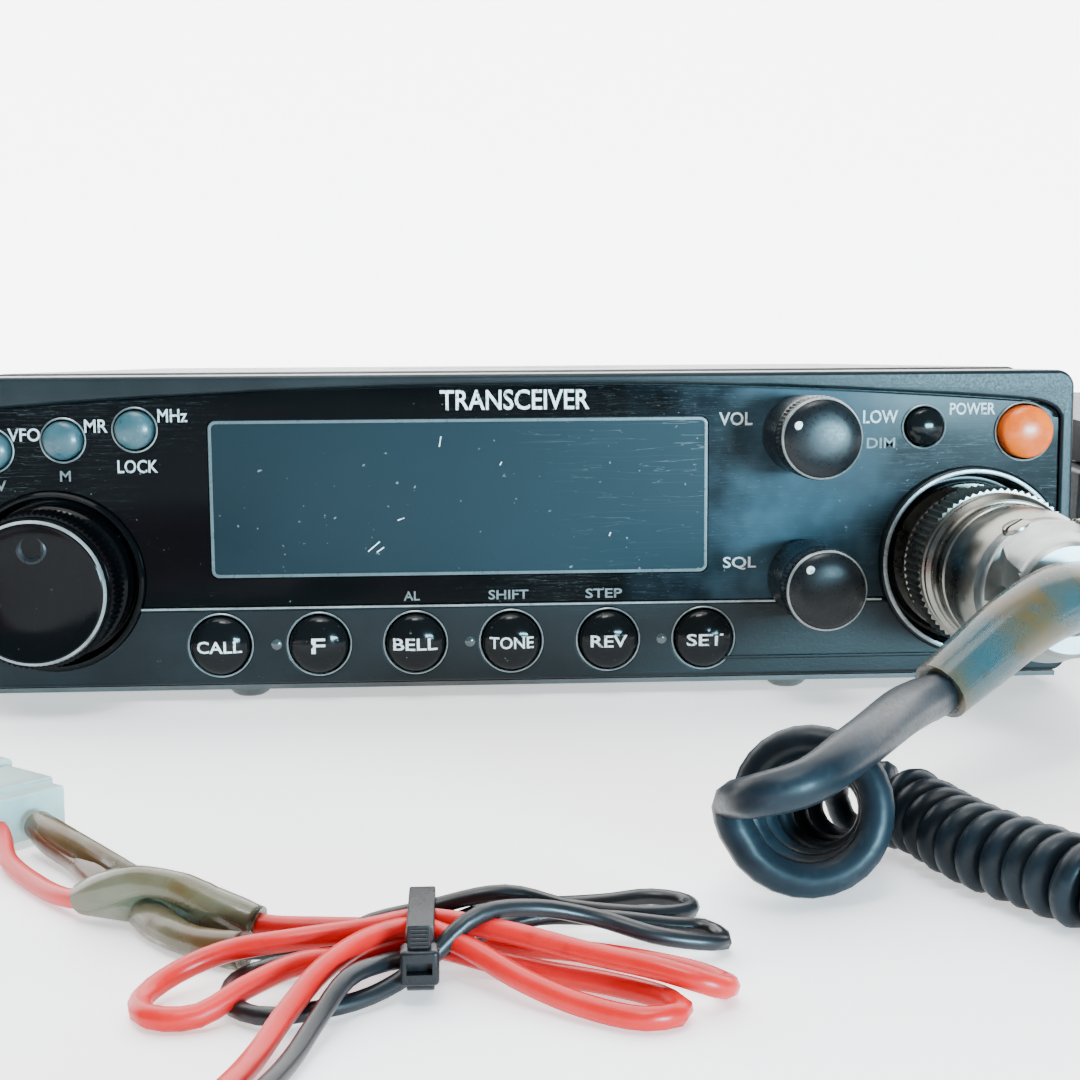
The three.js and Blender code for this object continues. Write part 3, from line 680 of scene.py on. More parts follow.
looks = {
    "bezel": bezelPlastic(),
    "fascia": fasciaGloss(),
    "gloss": glossBlack("glossBlack"),
    "window": displayGlass(),
    "windowRim": plain("windowRim", (0.045, 0.07, 0.078), (0.07, 0.1, 0.108), 0.3),
    "lcd": plain("lcdBody", (0.1, 0.13, 0.12), (0.14, 0.17, 0.16), 0.35),
    "board": circuitGreen(),
    "steel": plain(
        "paintedSteel", (0.012, 0.015, 0.017), (0.024, 0.029, 0.032), 0.42, 90, 0.3, 1500, Coat_Weight=0.1
    ),
    "baseSteel": plain("baseSteel", (0.03, 0.033, 0.033), (0.07, 0.07, 0.065), 0.4, 110, 0.3, 1500,
                       Coat_Weight=0.1),
    "alloy": plain("castAlloy", (0.035, 0.04, 0.043), (0.07, 0.078, 0.082), 0.5, 220, 0.5, 900,
                   Metallic=0.35),
    "control": plain("controlMetal", (0.3, 0.3, 0.29), (0.45, 0.45, 0.43), 0.35, Metallic=0.9),
    "screw": plain("screwBlack", (0.02, 0.021, 0.022), (0.05, 0.052, 0.055), 0.32, Metallic=0.6),
    "keyBlack": keyBlack(),
    "keyTeal": keyTeal(),
    "keyOrange": keyOrange(),
    "knob": plain("knobBlack", (0.004, 0.005, 0.006), (0.008, 0.01, 0.0115), 0.3, 160, 0.12,
                  Specular_IOR_Level=0.22),
    # bright grey rings set on edges as painted highlights: glints on hole, well, knob and strip edges
    "knobRim": plain("knobRim", (0.14, 0.16, 0.16), (0.3, 0.33, 0.33), 0.3, 300, 0.1, Metallic=0.4),
    "nickel": nickel(),
    "alloyBright": nickel("brushedAlloy", (0.42, 0.45, 0.44), 0.32),
    "cream": plain("creamInsert", (0.42, 0.4, 0.3), (0.55, 0.52, 0.4), 0.5, 200),
    "socket": plain("socketBlack", (0.008, 0.009, 0.01), (0.015, 0.017, 0.018), 0.4),
    "rubber": plain("rubberBlack", (0.01, 0.011, 0.012), (0.02, 0.022, 0.023), 0.55, 160, 0.3),
    "cord": cordRubber(),
    "sleeve": agedSleeve("agedSleeve", (0.03, 0.07, 0.08), (0.075, 0.048, 0.018), 0.62),
    "wireSleeve": agedSleeve("wireSleeve", (0.13, 0.13, 0.08), (0.08, 0.047, 0.013), 0.66),
    "handset": plain("handsetPlastic", (0.014, 0.016, 0.018), (0.026, 0.029, 0.031), 0.5, 130, 0.45, 1200),
    "red": wirePlastic("wireRed", (0.48, 0.002, 0.003), (0.6, 0.008, 0.009), (0.14, 0.004, 0.004)),
    "black": wirePlastic("wireBlack", (0.005, 0.006, 0.007), (0.01, 0.011, 0.013), (0.04, 0.04, 0.04)),
    "copper": plain("copperStrands", (0.55, 0.24, 0.11), (0.75, 0.38, 0.18), 0.3, Metallic=0.9),
    "nylon": wirePlastic("nylonWhite", (0.26, 0.38, 0.36), (0.4, 0.52, 0.49), (0.3, 0.25, 0.15)),
    "tie": plain("tieNylon", (0.004, 0.004, 0.005), (0.009, 0.009, 0.01), 0.3, 200, 0.1,
                 Specular_IOR_Level=0.2),
    "cone": plain("speakerCone", (0.02, 0.02, 0.021), (0.05, 0.048, 0.045), 0.8, 300, 0.5, 1500),
    "ink": legendInk("legendInk", (0.5, 0.56, 0.56)),
    "fadedInk": legendInk("fadedInk", (0.16, 0.18, 0.18), 0.25),
    "whiteInk": legendInk("whiteInk", (0.75, 0.78, 0.77)),
    "lamp": plain("lampLens", (0.02, 0.03, 0.03), (0.05, 0.07, 0.07), 0.2, Coat_Weight=0.5),
}
print("finishes made")


# ---------- cords ----------
# Routes in millimetres, as the solids have them
micCord = {
    "exit": (57.3, -114, 15.3),
    "diameter": 2.2,
    "lead": [
        (57.3, -111, 15.3), (57.3, -114.2, 15.4), (56, -118.8, 16.6), (51.8, -122.2, 16.3),
        (47.2, -125, 14.6),
        (42.5, -127.8, 12), (37.9, -130.5, 9.3), (33.6, -138.5, 10.1), (29.3, -147, 11), (22.4, -158.5, 10.8),
        (17.6, -163.3, 9.6), (14.2, -162.9, 8.6),
    ],
    "axis": [
        (19.3, -158.8, 6.5), (19.8, -156, 5.8), (21.2, -153, 4.8), (23, -150, 3.7), (24.8, -147.2, 3.0),
        (27.5, -145.2, 2.75), (30.4, -146.6, 2.6), (31.6, -150, 2.45), (32.4, -153.5, 2.35),
        (33.8, -157.6, 2.3),
        (36, -161.6, 2.3), (38.4, -166.4, 2.3), (43, -171, 2.3), (52, -173, 2.3), (66, -170, 2.3),
        (84, -165, 2.3),
        (104, -162, 2.3), (126, -160, 2.3), (143, -148, 2.3), (144, -128, 2.3), (132, -114.5, 2.4),
        (124, -106, 4.2),
    ],
    "end": [(121, -99.5, 7), (119.2, -93, 10.4), (119, -88, 11.6), (119, -84, 11.9)],
    # distance along the axis: radius of the turns, and the distance from turn to turn
    "turnRadius": [(0, 6.3), (1.6, 5.2), (4, 5.05), (6.5, 4.4), (9, 3.6), (12.5, 3.0), (17, 2.7), (24, 2.4)],
    "pitch": [(0, 3.6), (3.5, 2.4), (9.5, 2.4), (15, 2.9), (22, 2.6), (28, 2.3)],
}


def between(table, s):
    for (s0, v0), (s1, v1) in zip(table, table[1:]):
        if s <= s1:
            return v0 + (v1 - v0) * max(0, s - s0) / (s1 - s0)
    return table[-1][1]


def curl():
    # turns about the axis, wider where the cord comes in and closing to nothing at the far end
    line = smoothLine(micCord["axis"], 0.25)
    total = lengthOf(line) / mm
    step = total / (len(line) - 1)
    points, turn, s = [], 0.0, 0.0
    while s < total:
        i = min(int(s / step), len(line) - 2)
        here = Vector(line[i]).lerp(Vector(line[i + 1]), s / step - i)
        ahead = Vector(line[min(i + 6, len(line) - 1)]) - Vector(line[max(i - 6, 0)])
        side = ahead.cross(Vector((0, 0, 1))).normalized()
        up = side.cross(ahead).normalized()
        radius = between(micCord["turnRadius"], s) * min(1, (total - s) / 5)
        angle = math.pi + 2 * math.pi * turn
        points.append(tuple(here + (side * math.cos(angle) + up * math.sin(angle)) * radius))
        turn += 1 / 28
        s += between(micCord["pitch"], s) / 28
    return points


def buildMicCord():
    turns = curl()
    lead = smoothLine(micCord["lead"] + turns[:3], 0.9)[:-1]
    points = lead + turns[3:] + smoothLine([turns[-1]] + micCord["end"], 0.9)[1:]
    # the moulded lead tapers to the curl's own thickness within its first turn
    reach, radii = 0.0, []
    leadLength = lengthOf(lead) / mm
    for i, point in enumerate(points):
        reach += (Vector(point) - Vector(points[max(0, i - 1)])).length
        radii.append(between([(leadLength - 30, 2.15), (leadLength - 16, 1.95), (leadLength - 4, 1.55),
                              (leadLength + 4, 1.45), (leadLength + 20, 1.3), (leadLength + 60, 1.2),
                              (leadLength + 110, 1.1)], reach))
    cord = finished(
        tubeAlong(points, radii, 10), "mic_cord", root, "rubber_black", looks["cord"],
        ("mic_cord_lead", "mic_cord_curl"), 60,
    )
    path = smoothLine(micCord["lead"][:7], 0.7)
    count = len(path)
    swell = [between([(0, 3.2), (0.14, 3.3), (0.4, 3.75), (0.75, 3.4), (1, 3.0)],
                     i / (count - 1)) for i in range(count)]
    # the sleeve is a tube with a wall: out along its outside, back along its inside
    wall = tubeWall(path, swell, 0.45)
    sleeve = finished(wall, "mic_cord_sleeve_tube", root, "aged_sleeve", looks["sleeve"],
                      ("mic_cord_sleeve",), 60)
    inMetres(points)
    print("microphone cord", round(lengthOf(points), 3), "m")


def tubeWall(path, radii, thickness, sides=24):
    outer = tubeAlong(path, radii, sides)
    inner = tubeAlong(path, [r - thickness for r in radii], sides)
    for piece in (outer, inner):
        edit(piece, "DESELECT")
        bpy.ops.mesh.select_mode(type="FACE")
        bpy.ops.object.mode_set(mode="OBJECT")
        for face in piece.data.polygons:
            face.select = len(face.vertices) == sides
        bpy.ops.object.mode_set(mode="EDIT")
        bpy.ops.mesh.delete(type="ONLY_FACE")
        bpy.ops.object.mode_set(mode="OBJECT")
    piece = joined("wall", [outer, inner])
    edit(piece, "DESELECT")
    bpy.ops.mesh.select_mode(type="VERT")
    bpy.ops.mesh.select_non_manifold()
    bpy.ops.mesh.bridge_edge_loops()
    bpy.ops.mesh.select_all(action="SELECT")
    bpy.ops.mesh.normals_make_consistent(inside=False)
    bpy.ops.object.mode_set(mode="OBJECT")
    return piece


powerLead = {
    "red": 1.6,  # mm across
    "black": 1.3,
    "pigtail": [
        (-42, 68, 14), (-42, 76, 13.3), (-45, 85.5, 9), (-53, 92.5, 3.4), (-64, 93.5, 0.9), (-74, 88, 0.6),
        (-79.5, 77, 0.6), (-80.5, 58, 0.6), (-79, 30, 0.6), (-80.5, 0, 0.6), (-79, -30, 0.6), (-80, -60, 0.6),
        (-79, -90, 0.6), (-73.5, -111, 0.6), (-65.6, -122.4, 0.8), (-58.6, -128.2, 1.4),
    ],
    "twist": 26,  # mm for one full twist of the pair
    "redStart": [(-48.6, -140.6, 1.4), (-47.4, -142.4, 1), (-45.6, -147, 0), (-41.8, -152.6, -0.3),
                 (-39, -156.2, -0.1)],
    "redSleeve": [
        (-36.8, -158.3, 0.4), (-34.6, -159.9, 1.6), (-31.8, -161.6, 2.7), (-28.8, -163, 2.6),
        (-25.8, -164.3, 1.5),
        (-22.7, -165.4, 0.6),
    ],
    "redHank": [
        (-18, -165.9, 0.4), (-14, -166.3, 0.4), (-10.8, -166.5, 0.5), (-8, -166.9, 0.1), (-5, -168.2, -0.3),
        (0, -170, -0.3), (4.6, -172.2, -0.3), (8, -174.6, -0.3), (9.6, -177, -0.2), (8.6, -179.2, 0.6),
        (5, -178.4, 1.5),
        (0, -175.6, 1.8), (-5, -172.6, 2.2), (-10.8, -169.35, 2.1), (-15, -171.6, 2.2), (-19.5, -172.6, 2),
        (-24, -172.6, 1.3), (-27.3, -173.8, 0.3), (-29, -176.6, -0.3), (-28, -179.4, -0.3),
        (-25, -179.6, -0.3),
        (-21.8, -177.4, 0.8), (-18.4, -174.9, 1.3), (-14.6, -172.6, 0.6), (-10.8, -170.3, 0.5),
        (-6, -172, -0.1),
        (-2, -174, -0.3), (2, -176.2, -0.3), (5.2, -178.8, -0.3), (6, -181, -0.3), (3.6, -181.9, -0.3),
        (0, -180, -0.2),
        (-4, -176.8, 0.4), (-8, -173.2, 1.6), (-10.8, -171.25, 2.1), (-14, -173.6, 2.4), (-17, -177.4, 1.8),
        (-19, -181.4, 0.6), (-20.4, -185.6, -0.3), (-21.6, -190, -0.3),
    ],
    "blackSleeve": [
        (-44.6, -141, 1.2), (-42, -144.6, 0.5), (-37.4, -151.4, 0.1), (-33.6, -157.5, 0.1),
        (-31, -162.1, 0.1),
        (-28.4, -166, 0.1), (-25.6, -168.4, 0.1), (-23.2, -169.4, 0.1),
    ],
    "blackHank": [
        (-19, -168.9, 0), (-14.5, -168.5, 0.3), (-10.8, -168.4, 0.5), (-8, -167.6, 1.4), (-5, -165.4, 1.5),
        (-1, -162.6, 0.5), (3, -160.2, -0.2), (6.6, -159, -0.3), (9.2, -160.4, -0.3), (9, -163.2, 0),
        (5.6, -164.8, 0.4),
        (0, -165.3, 1.2), (-5, -166.9, 3), (-10.8, -167.45, 2.1), (-14.5, -169.3, 1.9), (-16.6, -170.5, 1.1),
        (-19, -171.3, 0.1), (-21.6, -172, -0.2), (-23.3, -174.6, -0.2), (-23, -177.8, -0.3),
        (-20.6, -179.9, -0.3),
        (-17.6, -179.2, -0.3), (-14.2, -177.2, -0.3), (-10.8, -174.1, 0.5), (-7, -172.2, 3.2),
        (-3, -170.2, 3),
        (1.5, -169.5, 1.9), (6, -170.6, 0.8), (10.6, -169.4, -0.1), (9.8, -166.6, -0.1), (7.4, -166.8, 0.2),
        (2.5, -167.2, 1), (-3, -168.4, 1.6), (-10.8, -172.2, 0.5), (-13.4, -175.3, 1.2), (-15.4, -178.4, 1.5),
        (-17, -182, 0.4), (-18.2, -186, -0.3), (-19.4, -190, -0.3),
    ],
    "redTail": [(-24, -195.6, -0.3), (-29.5, -200.6, -0.3), (-36.6, -205.2, -0.3), (-43, -210, -0.3)],
    "blackTail": [(-21.8, -195, -0.3), (-27, -201.6, -0.3), (-34, -207.2, -0.3), (-41.4, -210.6, -0.3)],
    "coil": {"x": -62, "y": -201, "outer": 18.6, "inner": 7.8, "step": 3.7, "layers": 7, "rise": 1.77,
             "start": -45},
}


def twistedPair(route, twist, apart, spacing=1.2):
    line = smoothLine(route, spacing)
    pair = ([], [])
    for i, point in enumerate(line):
        ahead = Vector(line[min(i + 1, len(line) - 1)]) - Vector(line[max(i - 1, 0)])
        side = ahead.cross(Vector((0, 0, 1))).normalized()
        up = side.cross(ahead).normalized()
        angle = 2 * math.pi * i * spacing / twist
        away = (side * math.cos(angle) + up * math.sin(angle)) * apart
        pair[0].append(tuple(Vector(point) + away))
        pair[1].append(tuple(Vector(point) - away))
    return pair


def coilTurns(inset):
    # flat spirals, one layer on the next, inwards and outwards by turns
    coil = powerLead["coil"]
    outer, inner = coil["outer"] - inset, coil["inner"] - inset
    perLayer = (outer - inner) / coil["step"]
    points, total = [], perLayer * coil["layers"]
    count = int(total * 40)
    for i in range(count + 1):
        n = i / 40
        layer = min(int(n / perLayer), coil["layers"] - 1)
        share = n / perLayer - layer
        radius = outer - (outer - inner) * (share if layer % 2 == 0 else 1 - share)
        z = -0.3 + coil["rise"] * (layer + max(0, (share - 0.92) / 0.08) * (layer < coil["layers"] - 1))
        angle = math.radians(coil["start"]) - 2 * math.pi * n
        points.append((coil["x"] + radius * math.cos(angle), coil["y"] + radius * math.sin(angle), z))
    return points


def buildPowerLead():
    pigtails = twistedPair(powerLead["pigtail"], powerLead["twist"], powerLead["red"] / 2)
    housings = []
    for node, name in (("dc_socket_housing", "connector_socket"), ("dc_plug_housing", "connector_plug")):
        housings.append(finished(refined(node, 0.45, 3), name, root, "nylon_white", looks["nylon"], (node,)))
    pair = []
    for points, colour in zip(pigtails, ("red", "black")):
        piece = tubeAlong(points, powerLead[colour] / 2, 10)
        pair.append(finished(piece, "pigtail_" + colour, root, "wire_" + colour, looks[colour], (), 60))
    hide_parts("dc_pigtail")
    for piece, points, colour in zip(pair, pigtails, ("red", "black")):
        inMetres(points)[0]
        inMetres(points)
    red = powerLead["redStart"] + powerLead["redSleeve"] + powerLead["redHank"] + powerLead["redTail"]
    black = powerLead["blackSleeve"] + powerLead["blackHank"] + powerLead["blackTail"]
    for colour, route, inset, nodes in (
        ("red", red, 0, ("dc_lead_red", "dc_hank", "dc_tail", "dc_coil")),
        ("black", black, 1.85, ("dc_lead_black",)),
    ):
        wire = powerLead[colour] / 2
        turns = coilTurns(inset)
        points = smoothLine(route + turns[:4:3], 1.1)[:-1] + evenly(turns[3:], 1.1)[1:]
        wirePiece = finished(tubeAlong(points, wire, 8), "lead_" + colour, root, "wire_" + colour,
                             looks[colour], nodes, 60)
        sleevePath = smoothLine(powerLead[colour + "Sleeve"], 0.6)
        random.seed(7 if colour == "red" else 9)
        radii = [1.28 + 0.14 * math.sin(i * 0.33 + random.random() * 0.4) for i in range(len(sleevePath))]
        sleeve = finished(
            tubeWall(sleevePath, radii, 0.3, 16), "lead_sleeve_" + colour, root, "aged_sleeve",
            looks["wireSleeve"], (), 60
        )
        tip = Vector(points[-1])
        ahead = (tip - Vector(points[-3])).normalized()
        strands = [tuple(tip + ahead * d) for d in (-1, 0.5, 2, 3.5, 4.5)]
        copper = finished(tubeAlong(strands, [0.6, 0.6, 0.62, 0.6, 0.4], 12), "bare_end_" + colour, root,
                          "brushed_alloy",
                          looks["copper"], (), 60)
        plug = [housings[1]] if colour == "red" else []
        inMetres(points)[0]
        inMetres(points)
        [sleeve, copper] + plug
        print("power lead", colour, round(lengthOf(points), 3), "m")


buildMicCord()
buildPowerLead()
print("cords laid")


# ---------- front: bezel, fascia, window and legends ----------
front = {
    "face": -80,
    "sides": 70,
    "bottom": 0.9,
    "top": 39.3,
    "tuning": (-57.7, 14.2),
    "mic": (57.3, 15.3),
    "volume": (34.9, 31.6),
    "squelch": (35.7, 13.6),
    "display": (-38.5, 14.2, 23.6, 33.9),
    "stripTop": 10.7,
    "keyHole": 0.22,  # gap round a key
    "shaftHole": 3.2,  # radii from here down
    "tuningWell": 11.3,
    "micWell": 11.6,
}
keyRow = {
    "call_key": (-37.5, "CALL"), "function_key": (-25.3, "F"), "bell_key": (-13.3, "BELL"),
    "tone_key": (-1.3, "TONE"), "reverse_key": (10.9, "REV"), "shift_key": (23.0, "SET"),
}
keyRowZ = 5.9
smallKeys = {
    "vfo_key": (-64.6, 30.4), "memory_key": (-55.9, 31.6), "band_key": (-47.2, 32.8),
    "low_power_key": (50.8, 32.3),
}
powerKey = (63.6, 31.6)
keyRadius, smallRadius, powerRadius = 3.6, 2.35, 3.3


def curveThrough(a, control, b, points=14):
    spots = []
    for i in range(points):
        t = i / points
        spots.append(tuple(
            (1 - t) ** 2 * p + 2 * t * (1 - t) * q + t * t * r for p, q, r in zip(a, control, b)
        ))
    return spots


def fasciaOutline(grow):
    side, bottom, shoulder = 68.2 + grow, front["stripTop"] - grow, 33.2
    outline = [(-side, bottom), (side, bottom)]
    outline += curveThrough((side, shoulder), (side - 0.4, 35.2 + grow), (63.5, 35.5 + grow))
    outline += curveThrough((63.5, 35.5 + grow), (0, 40.4 + grow), (-63.5, 35.5 + grow), 60)
    outline += curveThrough((-63.5, 35.5 + grow), (-side + 0.4, 35.2 + grow), (-side, shoulder))
    return outline + [(-side, shoulder)]


def keyHoles(rows):
    spots = [circle(x, keyRowZ, keyRadius + front["keyHole"]) for x, _ in keyRow.values()] if rows else []
    spots += [circle(*spot, smallRadius + front["keyHole"], 36) for spot in smallKeys.values()]
    spots.append(circle(*powerKey, powerRadius + front["keyHole"]))
    return spots


def wells(start):
    return [
        rod(front["tuning"], front["tuningWell"], start, -76.4, 96),
        rod(front["mic"], front["micWell"], start, -75.6, 96),
    ]


def buildBezel():
    y, side, bottom, top = front["face"], front["sides"], front["bottom"], front["top"]
    outline = roundedRectangle(-side, bottom, side, top, 2.2)
    lowerHoles = [circle(x, keyRowZ, keyRadius + front["keyHole"]) for x, _ in keyRow.values()]
    face = plate([outline, fasciaOutline(0.12)] + lowerHoles, y, y + 2.2, 0.45)
    left, low, right, high = front["display"]
    opening = roundedRectangle(left + 1, low + 0.8, right - 1, high - 0.8, 0.6)
    behind = plate([outline, opening] + keyHoles(True), y + 1.6, y + 3.2, 0.1)
    shell = plate([outline, roundedRectangle(-side + 2, bottom + 2, side - 2, top - 2, 1.2)], y + 3, y + 19,
                  0.25)
    bored(face, wells(y - 1))
    bored(behind, wells(y - 1))
    wall = turned(
        [(8.4, -75.4), (12, -75.4), (12, -80.45), (11.9, -80.75), (11.65, -80.95), (11.3, -80.95),
         (11.1, -80.7),
         (10.8, -77.3), (10.5, -77), (8.4, -77), (8.4, -75.4)], front["mic"], 96,
    )
    # a fine raised line along the foot of the face, from under the last key to the right end
    ledge = plate([roundedRectangle(25.5, 3.1, 68.6, 3.6, 0.24, 4)], y - 0.2, y + 0.3, 0.16)
    bored(ledge, [rod(front["mic"], 11.9, y - 2, y + 2, 96)])
    bezel = joined("bezel", [face, behind, shell, wall, ledge])
    finished(bezel, "front_bezel_moulding", root, "bezel_plastic", looks["bezel"], ("front_bezel",), 30)
    # a bright ring on the well's rim: a painted highlight
    rim = turned([(11.15, -80.97), (11.4, -81.02), (11.65, -80.97), (11.4, -80.9), (11.15, -80.97)],
                 front["mic"], 96)
    finished(rim, "mic_well_bright_edge", root, "nickel", looks["knobRim"])
    inner = turned([(9.6, -77.02), (10.6, -77.02), (10.75, -77.25), (10.4, -77.4), (9.7, -77.3),
                    (9.6, -77.02)],
                   front["mic"], 96)
    finished(inner, "mic_well_ring", root, "gloss_black", looks["gloss"])
    for i, x in enumerate((-30.6, -6.5, 17.7)):
        pip = turned([(0, y - 0.3), (0.4, y - 0.26), (0.66, y - 0.12), (0.75, y + 0.1), (0.75, y + 0.4),
                      (0, y + 0.4)],
                     (x, keyRowZ), 24)
        finished(pip, f"key_lamp_{i + 1}", root, "gloss_black", looks["lamp"])
    print("bezel made")


def buildFascia():
    y = front["face"]
    left, low, right, high = front["display"]
    fascia = plate([fasciaOutline(0)], y + 0.2, y + 1.5, 0.2)
    bored(fascia, wells(y - 1))
    bored(fascia, [plate([roundedRectangle(left, low, right, high, 1)], y - 1, y + 3, 0.05)])
    bored(fascia, [rod(front[name], front["shaftHole"], y - 1, y + 3, 48) for name in ("volume", "squelch")])
    bored(fascia, [rod(spot, smallRadius + front["keyHole"], y - 1, y + 3,
                       48) for spot in smallKeys.values()])
    bored(fascia, [rod(powerKey, powerRadius + front["keyHole"], y - 1, y + 3, 64)])
    finished(fascia, "fascia_gloss_panel", root, "gloss_black", looks["fascia"], ("fascia_panel",))
    pane = plate([roundedRectangle(left + 0.15, low + 0.15, right - 0.15, high - 0.15, 0.9)], y + 0.3,
                 y + 1.5, 0.12)
    finished(pane, "display_window_pane", root, "window_tint", looks["window"], ("display_window",))
    border = plate(
        [roundedRectangle(left + 0.12, low + 0.12, right - 0.12, high - 0.12, 0.95),
         roundedRectangle(left + 0.5, low + 0.5, right - 0.5, high - 0.5, 0.6)], y + 0.24, y + 0.34, 0.02,
    )
    finished(border, "display_border", root, "window_tint", looks["windowRim"])
    # the edge line where the fascia meets the key strip, drawn bright as a painted highlight
    worn = plate([roundedRectangle(-47.2, front["stripTop"] - 0.34, 45.8, front["stripTop"] - 0.08, 0.1, 3)],
                 y - 0.06, y + 0.2, 0.04)
    finished(worn, "fascia_worn_edge", root, "bezel_plastic", looks["knobRim"])
    marks = []
    for x, z, long, turn in ((-9.9, 31, 1.3, 80), (-18.3, 18, 1.9, 40), (-17.5, 17.6, 1.1, 35),
                             (-14.9, 21.4, 0.9, 20),
                             (-2.4, 28.2, 0.5, 60), (11.2, 19.2, 0.5, 70)):
        mark = box((-long / 2, -0.03, -0.07), (long / 2, 0.03, 0.07), 0.02, 1)
        move(mark, (x, y + 0.27, z), (0, -turn, 0))
        marks.append(mark)
    finished(joined("marks", marks), "window_scratches", root, "window_tint", looks["whiteInk"])
    print("fascia made")


def lettering(words, spot, high, wide=None, y=-79.83, thick=0.03):
    # words as a mesh of the given height, and width where it is given, centred on a spot of the face
    deselect()
    bpy.ops.object.text_add()
    piece = bpy.context.object
    piece.data.body = words
    piece.data.extrude = thick * mm * 100
    piece.data.offset = 0.012
    piece.data.resolution_u = 3
    bpy.ops.object.convert(target="MESH")
    piece = bpy.context.object
    xs = [v.co.x for v in piece.data.vertices]
    ys = [v.co.y for v in piece.data.vertices]
    zs = [v.co.z for v in piece.data.vertices]
    tall = max(ys) - min(ys)
    across = (wide / (max(xs) - min(xs))) if wide else high / tall
    for v in piece.data.vertices:
        x = (v.co.x - (max(xs) + min(xs)) / 2) * across
        z = (v.co.y - (max(ys) + min(ys)) / 2) * high / tall
        depth = (v.co.z - min(zs)) / max(max(zs) - min(zs), 1e-9)
        v.co = at(x + spot[0], y - depth * thick, z + spot[1])
    tidy(piece, 0.0005)
    return piece


legends = {
    "ink": [
        ("VOL", (27, 33.5), 1.65, 4.2), ("SQL", (27.6, 15.3), 1.65, 4.2), ("LOW", (45.3, 33.6), 1.65, 4.4),
        ("POWER", (57.0, 34.5), 1.5, 5.8), ("VFO", (-60.6, 32.3), 1.6, 3.9), ("MR", (-51.9, 33.3), 1.6, 2.8),
        ("MHz", (-42.6, 34.5), 1.6, 3.6), ("LOCK", (-47, 28.3), 1.6, 4.9),
    ],
    "fadedInk": [
        ("DIM", (45.4, 30.3), 1.3, 3.6), ("M", (-55.8, 27.2), 1.3, 1.3), ("V", (-63.6, 26.1), 1.3, 1.3),
        ("AL", (-13.7, 11.75), 1.15, 2.0), ("SHIFT", (-1.6, 11.75), 1.2, 5.0),
        ("STEP", (10.4, 11.75), 1.2, 4.6),
    ],
    "whiteInk": [("TRANSCEIVER", (-0.6, 36.1), 2.5, 18.5)],
}


def buildLegends():
    for look, rows in legends.items():
        words = [lettering(*row) for row in rows]
        finished(joined("words", words), "panel_legends_" + look, root, "gloss_black", looks[look], (), 20)
    print("legends made")


buildBezel()
buildFascia()
buildLegends()


# ---------- keys ----------
def domeDepth(radius, apex, shoulder, r):
    share = min(1, r / radius)
    return apex + (shoulder - apex) * (1 - math.sqrt(max(0, 1 - share ** 2))) / (1 - 0.25)


def keyProfile(radius, apex, shoulder, back, stem):
    profile = [(0, apex)]
    for share in (0.15, 0.3, 0.45, 0.6, 0.72, 0.82, 0.9, 0.955):
        profile.append((radius * share, domeDepth(radius, apex, shoulder, radius * share)))
    last = profile[-1][1]
    profile += [(radius * 0.985, last + 0.18), (radius, last + 0.5), (radius, back), (1.3, back),
                (1.3, stem), (0, stem)]
    return profile


def buildKey(name, spot, radius, look, slotName, apex=-81.8, words=None, stem=-71.9):
    shoulder = apex + radius * 0.3
    key = turned(keyProfile(radius, apex, shoulder, -76.45, stem), spot, 64)
    finished(key, name + "_cap", name, slotName, look, (name,), 50)
    # a bright ring round the key hole: a painted highlight on the hole's edge
    ring = turned(
        [(radius + 0.24, -80.02), (radius + 0.34, -80.1), (radius + 0.46, -80.02), (radius + 0.34, -79.95),
         (radius + 0.24, -80.02)], spot, 64,
    )
    finished(ring, name + "_hole_edge", root, "bezel_plastic", looks["knobRim"])
    if words:
        wide = {1: 1.7, 3: 4.6, 4: 5.5}[len(words)]
        text = lettering(words, spot, 1.9 if len(words) == 1 else 1.5, wide)
        for v in text.data.vertices:
            r = math.hypot(v.co.x / mm - spot[0], v.co.z / mm - spot[1])
            v.co.y = (domeDepth(radius, apex, shoulder, r) - 0.012 + (v.co.y / mm + 79.83)) * mm
        finished(text, name + "_legend", name, slotName, looks["whiteInk"], (), 20)


for name, (x, words) in keyRow.items():
    buildKey(name, (x, keyRowZ), keyRadius, looks["keyBlack"], "key_black", -81.8, words)
for name, spot in smallKeys.items():
    teal = name != "low_power_key"
    buildKey(name, spot, smallRadius, looks["keyTeal" if teal else "keyBlack"],
             "key_teal" if teal else "key_black", -81.6)
buildKey("power_button", powerKey, powerRadius, looks["keyOrange"], "key_orange", -82.5, None, -72.9)
print("keys made")


# ---------- knobs ----------
tuningKnob = [
    (0, -89.75), (4, -89.8), (6.6, -90.0), (7.7, -90.35), (8.1, -90.45), (8.4, -90.35), (8.6, -90.05),
    (8.75, -89.6),
    (8.9, -89.2), (8.9, -83.1), (9.3, -82.9), (9.55, -82.6), (9.6, -82.2), (9.6, -79.6), (9.4, -79.3),
    (3, -79.3),
    (3, -71), (0, -71),
]
levelKnob = [
    (0, -94.15), (1.6, -94.12), (3, -93.98), (3.9, -93.72), (4.45, -93.4), (4.8, -92.95), (4.93, -92.5),
    (4.86, -92.3), (4.86, -90.2), (4.95, -90.0), (4.98, -89.6), (4.9, -86), (4.8, -81.2), (4.6, -80.4),
    (2.4, -80.3),
    (2.4, -71), (0, -71),
]


